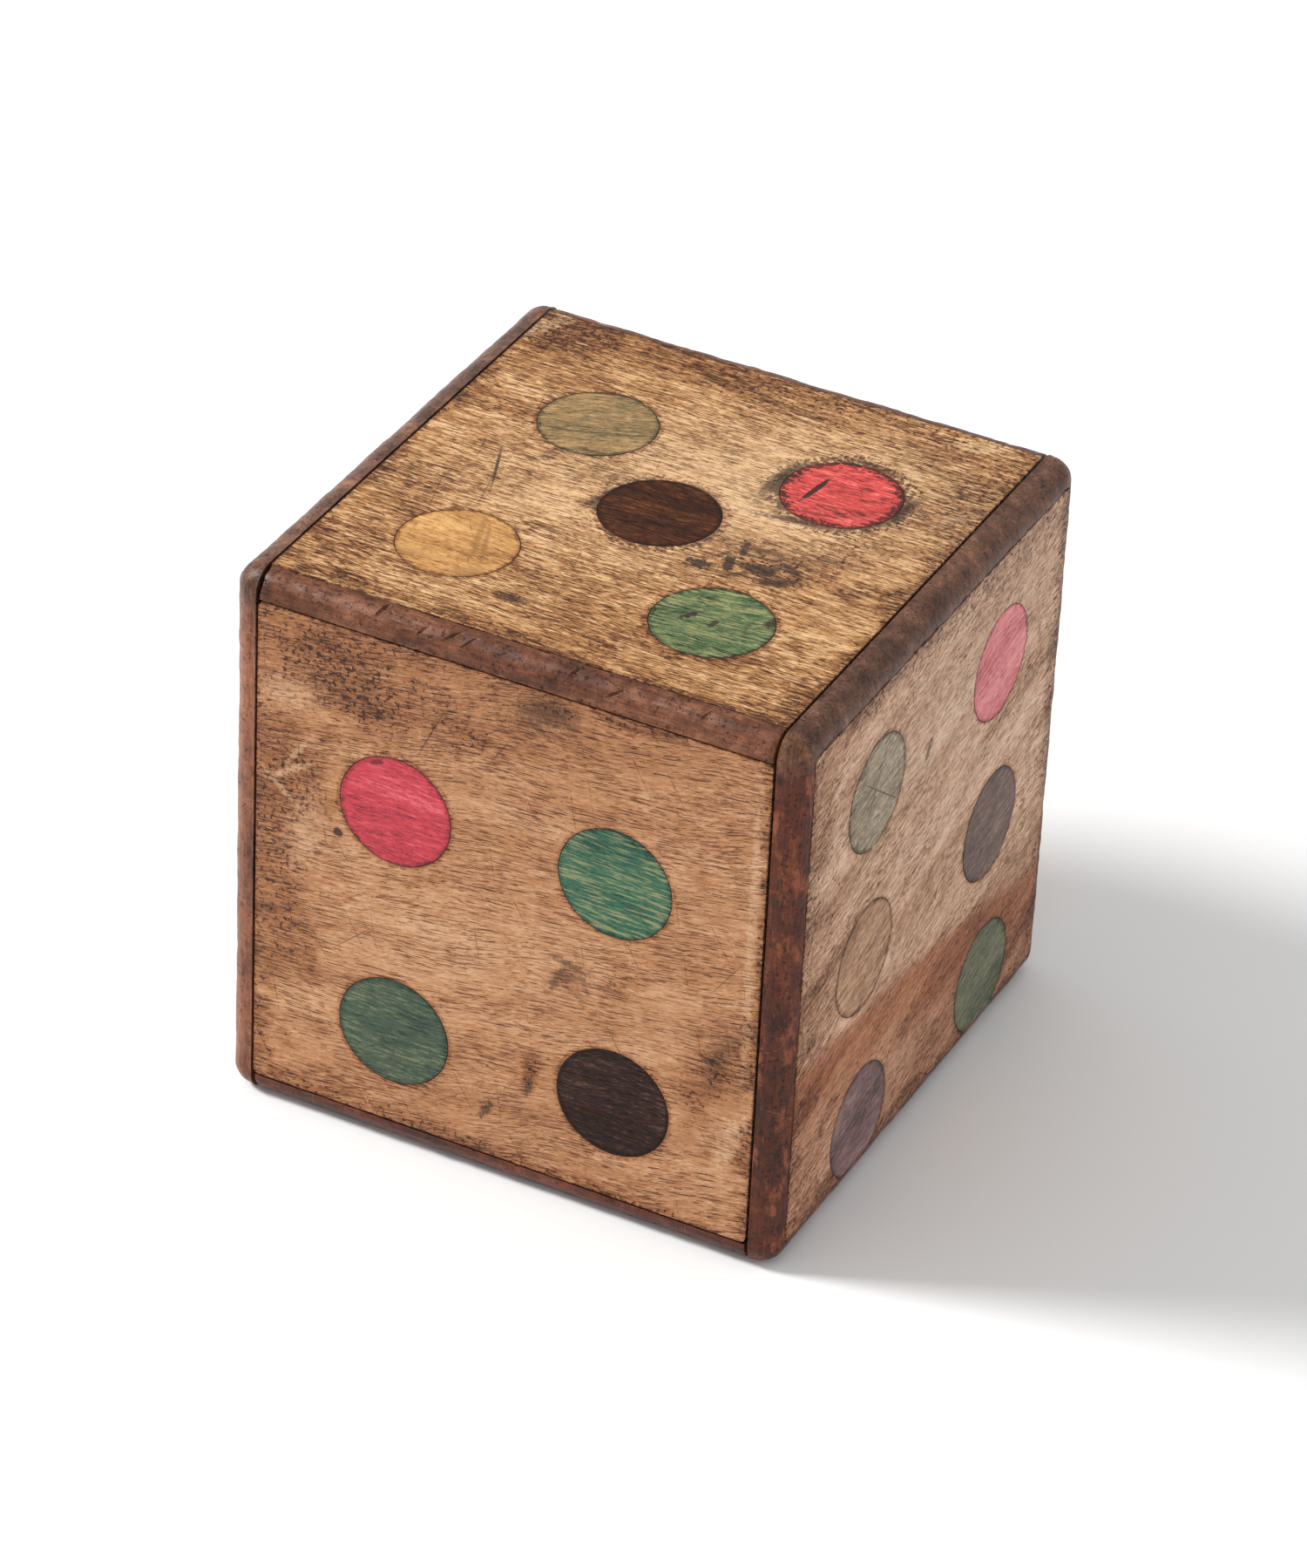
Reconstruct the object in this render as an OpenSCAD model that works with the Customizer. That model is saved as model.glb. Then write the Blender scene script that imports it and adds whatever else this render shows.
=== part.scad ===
// Trick box in the shape of a die: a fixed carcass, a lid and a base panel that slide
// front to back between two end panels, and end panels that rise a little on T-keys.
// Millimetres. The origin is under the middle of the base, +X is right, -Y is the front
// (the four) and +Z is up (the five).

/* [Overall] */
// Width over both end panels
body_w = 76; // [64:0.5:100]
// Depth, front to back
body_d = 76; // [64:0.5:100]
// Height
body_h = 76; // [64:0.5:100]

/* [Boards] */
// Thickness of the two end panels
end_t = 3.6; // [3.3:0.1:5]
// Thickness of the lid
lid_t = 3.3; // [3.3:0.1:5]
// Thickness of the base panel
base_t = 3.3; // [3.3:0.1:5]
// Thickness of the front and back walls, veneer included
wall_t = 4; // [3.5:0.1:6]
// Thickness of the fixed inner end walls
inner_t = 5; // [4.8:0.1:7]
// Thickness of the floor of the compartment
floor_t = 2.5; // [1.5:0.1:4]
// Radius of the worn round on every outer edge
edge_r = 3.1; // [1:0.1:3.1]
// Radius at the corners of the front and back walls and of the lid
corner_r = 0.8; // [0.4:0.1:1.5]

/* [Veneer and pips] */
// Thickness of the light veneer, and of the discs let into it
veneer_t = 0.6; // [0.4:0.1:1]
// Diameter of each pip
pip_d = 15; // [11:0.1:16]

/* [Lid and base runners] */
// Width of a runner, without its tongue
runner_w = 2.4; // [2:0.1:4]
// Height of a runner
runner_h = 5; // [4:0.1:7]
// Length of the lid's runners: a shorter one lets the lid open further
lid_runner_l = 18; // [12:0.5:30]
// How far the base panel slides
base_travel = 5; // [3:0.1:8]
// How far a tongue stands out from its runner
tongue_w = 1.5; // [1:0.1:2]
// Thickness of a tongue
tongue_t = 2; // [1.4:0.1:2.4]

/* [End panel keys] */
// How far an end panel rises
end_travel = 5; // [3:0.1:8]
// Height of a key
key_h = 24; // [14:0.5:30]
// Width of the key's stem
key_stem_w = 5.6; // [4:0.1:8]
// Width of the key's head
key_head_w = 11.6; // [10:0.1:14]
// Thickness of the key's head
key_head_t = 1.3; // [1:0.1:1.5]
// Thickness of the lip that holds the key's head
lip_t = 1.3; // [1:0.1:1.5]
// Width of the foot under each lip
rail_foot_w = 2; // [1.5:0.1:4]
// Height of each stop block at the ends of the rails
stop_h = 3; // [2:0.1:5]

/* [Clearances] */
// Working gap beside the end panels
seam_gap = 0.35; // [0.25:0.05:0.6]
// Gap under the lid and over the base panel
lid_gap = 0.25; // [0.15:0.05:0.5]
// Clearance round a tongue or a key
run_gap = 0.2; // [0.1:0.05:0.3]
// Clearance between a stop and what rests against it
stop_gap = 0.1; // [0.05:0.05:0.2]
// Glue line round each pip
inlay_gap = 0.08; // [0.03:0.01:0.15]

/* [Hidden] */
$fn = 96;

// Depth of the grooves that hold the walls and the floor together
dado = 1.2;
// Least flat left on a board's edge under its round
edge_land = 0.2;
// Wood left between the base runner's groove and the floor's groove
floor_land = 1;
// How deep a key's tenon goes into its end board
tenon_l = 1.2;
// Overshoot that makes each cut pass through its surface
cut = 1;

// Round on the outer edges, never more than the thinnest board allows
round_r = min(edge_r, min(end_t, lid_t, base_t) - edge_land);
carcass_w = body_w - 2 * (end_t + seam_gap);
wall_bottom = base_t + lid_gap;
wall_top = body_h - lid_t - lid_gap;
wall_h = wall_top - wall_bottom;
inner_w = carcass_w - 2 * inner_t;
inner_d = body_d - 2 * wall_t;
pip_r = pip_d / 2;
floor_z = base_t + runner_h + run_gap + floor_land;
base_runner_l = inner_d - base_travel - 2 * stop_gap;

// The recess in an inner wall that takes the rails, and the channel between its stops
recess_d = lip_t + key_head_t + 2 * run_gap;
channel_h = key_h + end_travel + 2 * stop_gap;
recess_h = channel_h + 2 * stop_h;
recess_w = key_head_w + 2 * (run_gap + rail_foot_w);
recess_z = (body_h - recess_h) / 2;
channel_z = recess_z + stop_h;

// The middles of the pips, as a maker gauges them off: [edge, distance] across the face and
// then up it. Edge -1 is the left or lower edge, 1 the right or upper one, and 0 the middle.
top_gauges = [
    [-1, 20.5, -1, 18.5], [-1, 22, 1, 24.5], [0, 0, 0, -1],
    [1, 21, 1, 24], [1, 21.5, -1, 18.5]
];
front_gauges = [[-1, 23, 1, 27], [1, 23.5, 1, 27], [-1, 23.5, -1, 17], [1, 22.5, -1, 17.5]];
right_gauges = [
    [-1, 21, 1, 18], [1, 20.5, 1, 19], [-1, 20.5, 0, -3.5],
    [1, 20, 0, -5], [-1, 22, -1, 9.5], [1, 19, -1, 9.5]
];
back_gauges = [[-1, 22.5, 1, 23.5], [0, 0, 0, -3.5], [1, 23, -1, 18]];
bottom_gauges = [[-1, 22, 1, 22.5], [1, 22, -1, 22]];
left_gauges = [[0, 0.5, 0, -2]];

// Those places from the middle of each face as one looks at it: [right, up]
top_places = gauged(top_gauges, body_w, body_d);
front_places = gauged(front_gauges, body_w, body_h);
right_places = gauged(right_gauges, body_d, body_h);
back_places = gauged(back_gauges, body_w, body_h);
bottom_places = gauged(bottom_gauges, body_w, body_d);
left_places = gauged(left_gauges, body_d, body_h);

function from_edge(edge, distance, size) = edge == 0 ? distance : edge * (size / 2 - distance);

function gauged(gauges, w, h) =
    [for (g = gauges) [from_edge(g[0], g[1], w), from_edge(g[2], g[3], h)]];

// Colours
core_brown = [0.33, 0.16, 0.1];
top_tan = [0.66, 0.47, 0.26];
front_tan = [0.71, 0.47, 0.29];
end_tan = [0.6, 0.44, 0.34];
inside_tan = [0.74, 0.6, 0.42];
pale_wood = [0.8, 0.68, 0.5];

// ---- Frames of the six faces: x to the right, y up the face, z out of it ----

module on_front() translate([0, -body_d / 2, body_h / 2]) rotate([90, 0, 0]) children();

module on_back() translate([0, body_d / 2, body_h / 2]) rotate([90, 0, 180]) children();

module on_right() translate([body_w / 2, 0, body_h / 2]) rotate([90, 0, 90]) children();

module on_left() translate([-body_w / 2, 0, body_h / 2]) rotate([90, 0, -90]) children();

module on_top() translate([0, 0, body_h]) children();

module on_bottom() rotate([180, 0, 0]) children();

// ---- Shapes that repeat ----

// A rectangle about the origin with round corners
module round_rect(w, h, r) {
    square([w - 2 * r, h], center = true);
    square([w, h - 2 * r], center = true);
    for (x = [-1, 1], y = [-1, 1])
        translate([x * (w / 2 - r), y * (h / 2 - r)])
            circle(r);
}

// A thick slab below z = 0 with its upper edges and corners rounded
module round_slab(w, h, t, r) {
    translate([0, 0, -t])
        linear_extrude(t - r)
            round_rect(w, h, r);
    translate([0, 0, -t / 2])
        cube([w - 2 * r, h - 2 * r, t], center = true);
    for (side = [-1, 1]) {
        translate([side * (w / 2 - r), 0, -r])
            rotate([90, 0, 0])
                cylinder(h = h - 2 * r, r = r, center = true);
        translate([0, side * (h / 2 - r), -r])
            rotate([0, 90, 0])
                cylinder(h = w - 2 * r, r = r, center = true);
    }
    for (x = [-1, 1], y = [-1, 1])
        translate([x * (w / 2 - r), y * (h / 2 - r), -r])
            sphere(r);
}

// A board in its face's frame, with its four outer edges and its corners rounded: the slab
// is made deep enough to hold its rounds whole, and what lies under the board is cut away
module round_board(w, h, t, r) {
    slab_t = t + 2 * r;
    difference() {
        round_slab(w, h, slab_t, r);
        translate([-w / 2 - cut, -h / 2 - cut, -slab_t - cut])
            cube([w + 2 * cut, h + 2 * cut, slab_t + cut - t]);
    }
}

// The end of a lid or base board: flat inside, rounded on its two outer edges
module edge_profile(d, t, r) {
    difference() {
        translate([-d / 2, -t])
            square([d, t]);
        for (side = [-1, 1])
            translate([side * (d / 2 - r), -r])
                difference() {
                    translate([side > 0 ? 0 : -r - cut, 0])
                        square([r + cut, r + cut]);
                    circle(r);
                }
    }
}

// A lid or base board in its face's frame, let in for its veneer
module sliding_board(t) {
    difference() {
        intersection() {
            rotate([90, 0, 90])
                linear_extrude(carcass_w, center = true)
                    edge_profile(body_d, t, round_r);
            translate([0, 0, -t])
                linear_extrude(t)
                    round_rect(carcass_w, body_d, corner_r);
        }
        translate([-carcass_w / 2 - cut, -veneer_d() / 2, -veneer_t])
            cube([carcass_w + 2 * cut, veneer_d(), veneer_t + cut]);
    }
}

// Veneer sizes: it stops where the round of the board's edge starts
function veneer_d() = body_d - 2 * round_r;
function veneer_h() = body_h - 2 * round_r;

// A sheet of veneer in its face's frame, with a hole for each pip
module veneer_sheet(w, h, middle, places, r) {
    difference() {
        translate([0, middle, -veneer_t])
            linear_extrude(veneer_t)
                round_rect(w, h, r);
        for (place = places)
            translate([place[0], place[1], -veneer_t - cut])
                cylinder(h = veneer_t + 2 * cut, r = pip_r + inlay_gap);
    }
}

// One disc let into the veneer
module pip(place) {
    translate([place[0], place[1], -veneer_t])
        cylinder(h = veneer_t, r = pip_r);
}

// The core of the front or back wall, in its face's frame
module wall_core() {
    translate([0, (wall_top + wall_bottom - body_h) / 2, -wall_t])
        linear_extrude(wall_t - veneer_t)
            round_rect(carcass_w, wall_h, corner_r);
}

// The inner end wall on the +X side, before its grooves are cut, grown by a clearance
module inner_blank(grow) {
    translate([inner_w / 2, -inner_d / 2 - dado - grow, wall_bottom])
        cube([inner_t, inner_d + 2 * (dado + grow), wall_h]);
}

// The floor, let into all four walls, grown by a clearance
module floor_blank(grow) {
    size = [inner_w + 2 * (dado + grow), inner_d + 2 * (dado + grow), floor_t + 2 * grow];
    translate([0, 0, floor_z + floor_t / 2])
        cube(size, center = true);
}

// The section of a runner on the +X side. It hangs down from z = 0 with its tongue outwards,
// and grown by the clearance it is the groove that the tongue runs in
module tongue_section(grow) {
    reach = tongue_w + (grow > 0 ? 0 : -run_gap);
    translate([inner_w / 2 - (grow > 0 ? cut : run_gap + runner_w), -runner_h - grow])
        square([reach + (grow > 0 ? cut : run_gap + runner_w), tongue_t + 2 * grow]);
}

module runner_section() {
    translate([inner_w / 2 - run_gap - runner_w, -runner_h])
        square([runner_w, runner_h]);
    tongue_section(0);
}

// Stretches a section in X and Z along Y, from y0 for a length
module along_y(y0, length) {
    translate([0, y0 + length, 0])
        rotate([90, 0, 0])
            linear_extrude(length)
                children();
}

module lid_runner() {
    translate([0, 0, body_h - lid_t])
        along_y(-inner_d / 2 + stop_gap, lid_runner_l)
            runner_section();
}

module base_runner() {
    translate([0, 0, base_t])
        mirror([0, 0, 1])
            along_y(-inner_d / 2 + stop_gap, base_runner_l)
                runner_section();
}

// The inner end wall on the +X side
module inner_wall() {
    recess_x = carcass_w / 2 - recess_d;
    difference() {
        inner_blank(0);
        translate([0, 0, body_h - lid_t])
            along_y(-body_d / 2, body_d)
                tongue_section(run_gap);
        translate([0, 0, base_t])
            mirror([0, 0, 1])
                along_y(-body_d / 2, body_d)
                    tongue_section(run_gap);
        floor_blank(0);
        translate([recess_x, -recess_w / 2, recess_z])
            cube([recess_d + cut, recess_w, recess_h]);
    }
}

// The front or back wall, with grooves for the inner walls and the floor
module grooved_wall() {
    difference() {
        children();
        inner_blank(0);
        mirror([1, 0, 0])
            inner_blank(0);
        floor_blank(0);
    }
}

// The two rails on the +X side, whose lips hold the key's head
module rails() {
    foot_y = key_head_w / 2 + run_gap;
    mouth_y = key_stem_w / 2 + run_gap;
    for (side = [0, 1])
        mirror([0, side, 0]) {
            translate([carcass_w / 2 - recess_d, foot_y, channel_z])
                cube([recess_d, rail_foot_w, channel_h]);
            translate([carcass_w / 2 - lip_t, mouth_y, channel_z])
                cube([lip_t, foot_y - mouth_y + rail_foot_w, channel_h]);
        }
}

// The stop blocks above and below the rails on the +X side
module rail_stops() {
    for (z = [recess_z, recess_z + recess_h - stop_h])
        translate([carcass_w / 2 - recess_d, -recess_w / 2, z])
            cube([recess_d, recess_w, stop_h]);
}

// The T-key on the +X side, which stands on its lower stop and holds the end board
module key() {
    head_x = carcass_w / 2 - recess_d + run_gap;
    stem_l = body_w / 2 - end_t + tenon_l - head_x;
    translate([head_x, -key_head_w / 2, channel_z + stop_gap])
        cube([key_head_t, key_head_w, key_h]);
    translate([head_x, -key_stem_w / 2, channel_z + stop_gap])
        cube([stem_l, key_stem_w, key_h]);
}

// An end board in its face's frame, let in for its veneer
module end_board() {
    difference() {
        round_board(body_d, body_h, end_t, round_r);
        translate([0, 0, -veneer_t])
            linear_extrude(veneer_t + cut)
                round_rect(veneer_d(), veneer_h(), corner_r);
    }
}

module end_veneer(places) {
    veneer_sheet(veneer_d(), veneer_h(), 0, places, corner_r);
}

// A pip of an end panel: the lowest ones are cut off where the veneer ends
module end_pip(place) {
    intersection() {
        pip(place);
        translate([0, 0, -veneer_t])
            linear_extrude(veneer_t)
                round_rect(veneer_d(), veneer_h(), corner_r);
    }
}

module wall_veneer(places) {
    veneer_sheet(carcass_w, wall_h, (wall_top + wall_bottom - body_h) / 2, places, corner_r);
}

// A sheet of veneer on the lid or the base, which runs right across between the end panels
module sliding_veneer(places) {
    difference() {
        translate([-carcass_w / 2, -veneer_d() / 2, -veneer_t])
            cube([carcass_w, veneer_d(), veneer_t]);
        for (place = places)
            translate([place[0], place[1], -veneer_t - cut])
                cylinder(h = veneer_t + 2 * cut, r = pip_r + inlay_gap);
    }
}

// ---- Fixed carcass ----

module front_wall() color(core_brown) grooved_wall() on_front() wall_core();

module front_veneer() color(front_tan) on_front() wall_veneer(front_places);

module front_pip_upper_left() color([0.78, 0.23, 0.29]) on_front() pip(front_places[0]);

module front_pip_upper_right() color([0.15, 0.5, 0.4]) on_front() pip(front_places[1]);

module front_pip_lower_left() color([0.19, 0.35, 0.29]) on_front() pip(front_places[2]);

module front_pip_lower_right() color([0.23, 0.13, 0.14]) on_front() pip(front_places[3]);

module back_wall() color(core_brown) grooved_wall() on_back() wall_core();

module back_veneer() color(front_tan) on_back() wall_veneer(back_places);

module back_pip_upper() color([0.17, 0.42, 0.3]) on_back() pip(back_places[0]);

module back_pip_middle() color([0.78, 0.23, 0.25]) on_back() pip(back_places[1]);

module back_pip_lower() color([0.8, 0.6, 0.3]) on_back() pip(back_places[2]);

module right_inner_wall() color(inside_tan) inner_wall();

module left_inner_wall() color(inside_tan) mirror([1, 0, 0]) inner_wall();

module inner_floor() color(inside_tan) floor_blank(0);

module right_rails() color(pale_wood) rails();

module left_rails() color(pale_wood) mirror([1, 0, 0]) rails();

module right_rail_stops() color(pale_wood) rail_stops();

module left_rail_stops() color(pale_wood) mirror([1, 0, 0]) rail_stops();

// ---- Lid ----

module top_board() color(core_brown) on_top() sliding_board(lid_t);

module top_veneer() color(top_tan) on_top() sliding_veneer(top_places);

module top_pip_front_left() color([0.79, 0.6, 0.31]) on_top() pip(top_places[0]);

module top_pip_back_left() color([0.42, 0.39, 0.24]) on_top() pip(top_places[1]);

module top_pip_centre() color([0.2, 0.12, 0.08]) on_top() pip(top_places[2]);

module top_pip_back_right() color([0.81, 0.2, 0.2]) on_top() pip(top_places[3]);

module top_pip_front_right() color([0.22, 0.46, 0.27]) on_top() pip(top_places[4]);

module lid_runner_right() color(pale_wood) lid_runner();

module lid_runner_left() color(pale_wood) mirror([1, 0, 0]) lid_runner();

// ---- Base panel ----

module base_board() color(core_brown) on_bottom() sliding_board(base_t);

module base_veneer() color(top_tan) on_bottom() sliding_veneer(bottom_places);

module base_pip_one() color([0.2, 0.12, 0.1]) on_bottom() pip(bottom_places[0]);

module base_pip_two() color([0.17, 0.42, 0.3]) on_bottom() pip(bottom_places[1]);

module base_runner_right() color(pale_wood) base_runner();

module base_runner_left() color(pale_wood) mirror([1, 0, 0]) base_runner();

// ---- Left end panel ----

module left_board() {
    color(core_brown)
        difference() {
            on_left() end_board();
            left_key();
        }
}

module left_veneer() color(end_tan) on_left() end_veneer(left_places);

module left_pip() color([0.78, 0.23, 0.22]) on_left() end_pip(left_places[0]);

module left_key() color(pale_wood) mirror([1, 0, 0]) key();

// ---- Right end panel ----

module right_board() {
    color(core_brown)
        difference() {
            on_right() end_board();
            right_key();
        }
}

module right_veneer() color(end_tan) on_right() end_veneer(right_places);

module right_pip_front_upper() color([0.46, 0.43, 0.37]) on_right() end_pip(right_places[0]);

module right_pip_back_upper() color([0.7, 0.29, 0.33]) on_right() end_pip(right_places[1]);

module right_pip_front_middle() color([0.6, 0.46, 0.34]) on_right() end_pip(right_places[2]);

module right_pip_back_middle() color([0.27, 0.2, 0.2]) on_right() end_pip(right_places[3]);

module right_pip_front_lower() color([0.36, 0.27, 0.29]) on_right() end_pip(right_places[4]);

module right_pip_back_lower() color([0.25, 0.39, 0.25]) on_right() end_pip(right_places[5]);

module right_key() color(pale_wood) key();

front_wall();
front_veneer();
front_pip_upper_left();
front_pip_upper_right();
front_pip_lower_left();
front_pip_lower_right();
back_wall();
back_veneer();
back_pip_upper();
back_pip_middle();
back_pip_lower();
left_inner_wall();
right_inner_wall();
inner_floor();
left_rails();
right_rails();
left_rail_stops();
right_rail_stops();
top_board();
top_veneer();
top_pip_front_left();
top_pip_back_left();
top_pip_centre();
top_pip_back_right();
top_pip_front_right();
lid_runner_left();
lid_runner_right();
base_board();
base_veneer();
base_pip_one();
base_pip_two();
base_runner_left();
base_runner_right();
left_board();
left_veneer();
left_pip();
left_key();
right_board();
right_veneer();
right_pip_front_upper();
right_pip_back_upper();
right_pip_front_middle();
right_pip_back_middle();
right_pip_front_lower();
right_pip_back_lower();
right_key();
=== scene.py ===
# %% [markdown]
# # A wooden trick box in the shape of a die
# The real object is a cube a little under eight centimetres wide. Thin boards of dark reddish
# wood carry a light veneer, and discs of dyed wood are let into the veneer as pips. Two end
# panels cover the ends of everything else, so a fine working gap runs round each of them.
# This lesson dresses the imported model: its boards are modelled again with worn edges, and
# every surface gets a wood of its own, made from nodes.

import math

import bmesh
import bpy
from mathutils import Euler, Matrix, Vector


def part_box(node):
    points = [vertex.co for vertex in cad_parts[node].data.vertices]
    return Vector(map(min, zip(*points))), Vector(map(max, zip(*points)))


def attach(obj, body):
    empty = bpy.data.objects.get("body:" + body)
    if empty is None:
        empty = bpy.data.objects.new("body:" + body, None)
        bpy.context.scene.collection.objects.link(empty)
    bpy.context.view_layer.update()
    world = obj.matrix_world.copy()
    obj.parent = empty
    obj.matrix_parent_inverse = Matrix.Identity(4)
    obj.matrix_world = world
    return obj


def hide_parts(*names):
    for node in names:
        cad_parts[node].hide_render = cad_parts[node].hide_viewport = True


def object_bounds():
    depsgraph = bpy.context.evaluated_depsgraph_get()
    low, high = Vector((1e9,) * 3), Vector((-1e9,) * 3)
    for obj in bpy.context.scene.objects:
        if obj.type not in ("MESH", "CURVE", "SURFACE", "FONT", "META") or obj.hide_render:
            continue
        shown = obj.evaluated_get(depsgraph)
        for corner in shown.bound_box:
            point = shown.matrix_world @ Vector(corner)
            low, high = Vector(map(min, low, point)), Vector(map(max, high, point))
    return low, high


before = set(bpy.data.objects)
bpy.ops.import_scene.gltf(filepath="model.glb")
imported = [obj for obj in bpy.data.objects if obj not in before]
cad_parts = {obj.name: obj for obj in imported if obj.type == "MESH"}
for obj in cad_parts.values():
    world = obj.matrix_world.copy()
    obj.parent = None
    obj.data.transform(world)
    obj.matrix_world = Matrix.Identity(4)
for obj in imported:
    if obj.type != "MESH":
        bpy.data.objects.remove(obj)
cad_box = [list(corner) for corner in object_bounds()]
box_low, box_high = (Vector(corner) for corner in cad_box)
box_middle = (box_low + box_high) / 2
MM = 0.001
print("the frame has", len(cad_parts), "nodes, and its box is", cad_box)

# %% [markdown]
# ## Six faces
# Wood is easiest to describe flat, as it lies on the bench. Each face gets its own flat
# coordinates in millimetres: x to the right, y up and z outwards, measured from the middle of
# the face. A Mapping node does the turning, from the same angles that are used here to find
# where a pip lies on its face.

# %% The faces and their flat coordinates
FACE_TURNS = {
    "front": (-90, 0, 0),
    "back": (-90, 180, 0),
    "right": (-90, -90, 0),
    "left": (-90, 90, 0),
    "top": (0, 0, 0),
    "base": (180, 0, 0),
}
FACE_NORMALS = {
    "front": (0, -1, 0),
    "back": (0, 1, 0),
    "right": (1, 0, 0),
    "left": (-1, 0, 0),
    "top": (0, 0, 1),
    "base": (0, 0, -1),
}
half_box = (box_high - box_low) / 2


def face_turn(face):
    return Euler([math.radians(angle) for angle in FACE_TURNS[face]])


def face_middle(face):
    normal = FACE_NORMALS[face]
    return box_middle + Vector([n * h for n, h in zip(normal, half_box)])


def on_face(face, point):
    """Where a point of the model lies on a face, in millimetres."""
    return face_turn(face).to_matrix() @ (Vector(point) - face_middle(face)) / MM


def pip_circle(face, name):
    """A pip's centre and radius on its face. The lowest pips of an end are cut off below, so
    the height is taken from the top of the circle."""
    corners = [on_face(face, corner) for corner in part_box(name)]
    left, right = sorted(corner.x for corner in corners)
    radius = (right - left) / 2
    return Vector(((left + right) / 2, max(corner.y for corner in corners) - radius, 0)), radius


print("the middle pip lies at", [round(v, 1) for v in pip_circle("top", "top_pip_centre")[0]])

# %% [markdown]
# ## Small helpers for nodes
# A material made in code is a chain of nodes. These helpers add one node each and plug values
# or other nodes into it, so that the recipes below read like recipes.

# %% Helpers that add nodes


def paint(red, green, blue):
    """A colour as a painter mixes it, 0 to 255, turned into the light it reflects."""
    linear = []
    for value in (red / 255, green / 255, blue / 255):
        linear.append(value / 12.92 if value < 0.04045 else ((value + 0.055) / 1.055) ** 2.4)
    return (*linear, 1.0)


def plug(tree, made, sockets):
    """Sets a node's sockets. A value that is another node's socket is linked instead."""
    for socket, value in sockets.items():
        if isinstance(value, bpy.types.NodeSocket):
            tree.links.new(value, made.inputs[socket])
        else:
            made.inputs[socket].default_value = value


def node(tree, kind, sockets=None, **settings):
    made = tree.nodes.new("ShaderNode" + kind)
    for name, value in settings.items():
        setattr(made, name, value)
    plug(tree, made, sockets or {})
    return made


def maths(tree, operation, first, second=0.0, third=0.0, clamp=False):
    sockets = {0: first, 1: second, 2: third}
    return node(tree, "Math", sockets, operation=operation, use_clamp=clamp).outputs[0]


def vectors(tree, operation, first, second=None):
    sockets = {0: first}
    if second is not None:
        sockets["Scale" if operation == "SCALE" else 1] = second
    made = node(tree, "VectorMath", sockets, operation=operation)
    return made.outputs["Value" if operation == "LENGTH" else "Vector"]


def fade(tree, value, start, end):
    """Goes softly from 0 at start to 1 at end. The start may lie above the end."""
    sockets = {"Value": value, "From Min": start, "From Max": end}
    return node(tree, "MapRange", sockets, interpolation_type="SMOOTHSTEP").outputs[0]


def noise(tree, vector, scale=1.0, detail=2.0, roughness=0.5):
    sockets = {"Vector": vector, "Scale": scale, "Detail": detail, "Roughness": roughness}
    return node(tree, "TexNoise", sockets).outputs["Fac"]


def mix(tree, amount, first, second):
    """Goes from the first colour at 0 to the second at 1."""
    return node(tree, "Mix", {0: amount, 6: first, 7: second}, data_type="RGBA").outputs[2]


def most(tree, masks):
    """The strongest of several masks."""
    strongest = masks[0]
    for mask in masks[1:]:
        strongest = maths(tree, "MAXIMUM", strongest, mask)
    return strongest


def new_group(name, inputs, outputs):
    """An empty node group with named sockets. A bare number stands for a Float input."""
    tree = bpy.data.node_groups.new(name, "ShaderNodeTree")
    for label, value in inputs.items():
        kind = "NodeSocketFloat" if isinstance(value, (int, float)) else "NodeSocketVector"
        socket = tree.interface.new_socket(label, in_out="INPUT", socket_type=kind)
        socket.default_value = value
    for label in outputs:
        tree.interface.new_socket(label, in_out="OUTPUT", socket_type="NodeSocketFloat")
    return tree, tree.nodes.new("NodeGroupInput").outputs, tree.nodes.new("NodeGroupOutput")


def use(tree, group, sockets):
    """Places a group in a material with values of its own, and gives its outputs."""
    made = tree.nodes.new("ShaderNodeGroup")
    made.node_tree = group
    plug(tree, made, sockets)
    return made.outputs


print("helpers ready")

# %% [markdown]
# ## Dashes: pores and scratches
# Open-pored wood shows its cut vessels as short dark dashes along the grain, and years of
# handling leave scratches, which are long thin dashes at odd angles. Both are the same shape,
# so one group makes them. A Voronoi texture scatters one point per cell, and each point
# becomes a lens-shaped dash. A share of the cells stays empty, because an even row of dashes
# looks printed.

# %% The dash group


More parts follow.
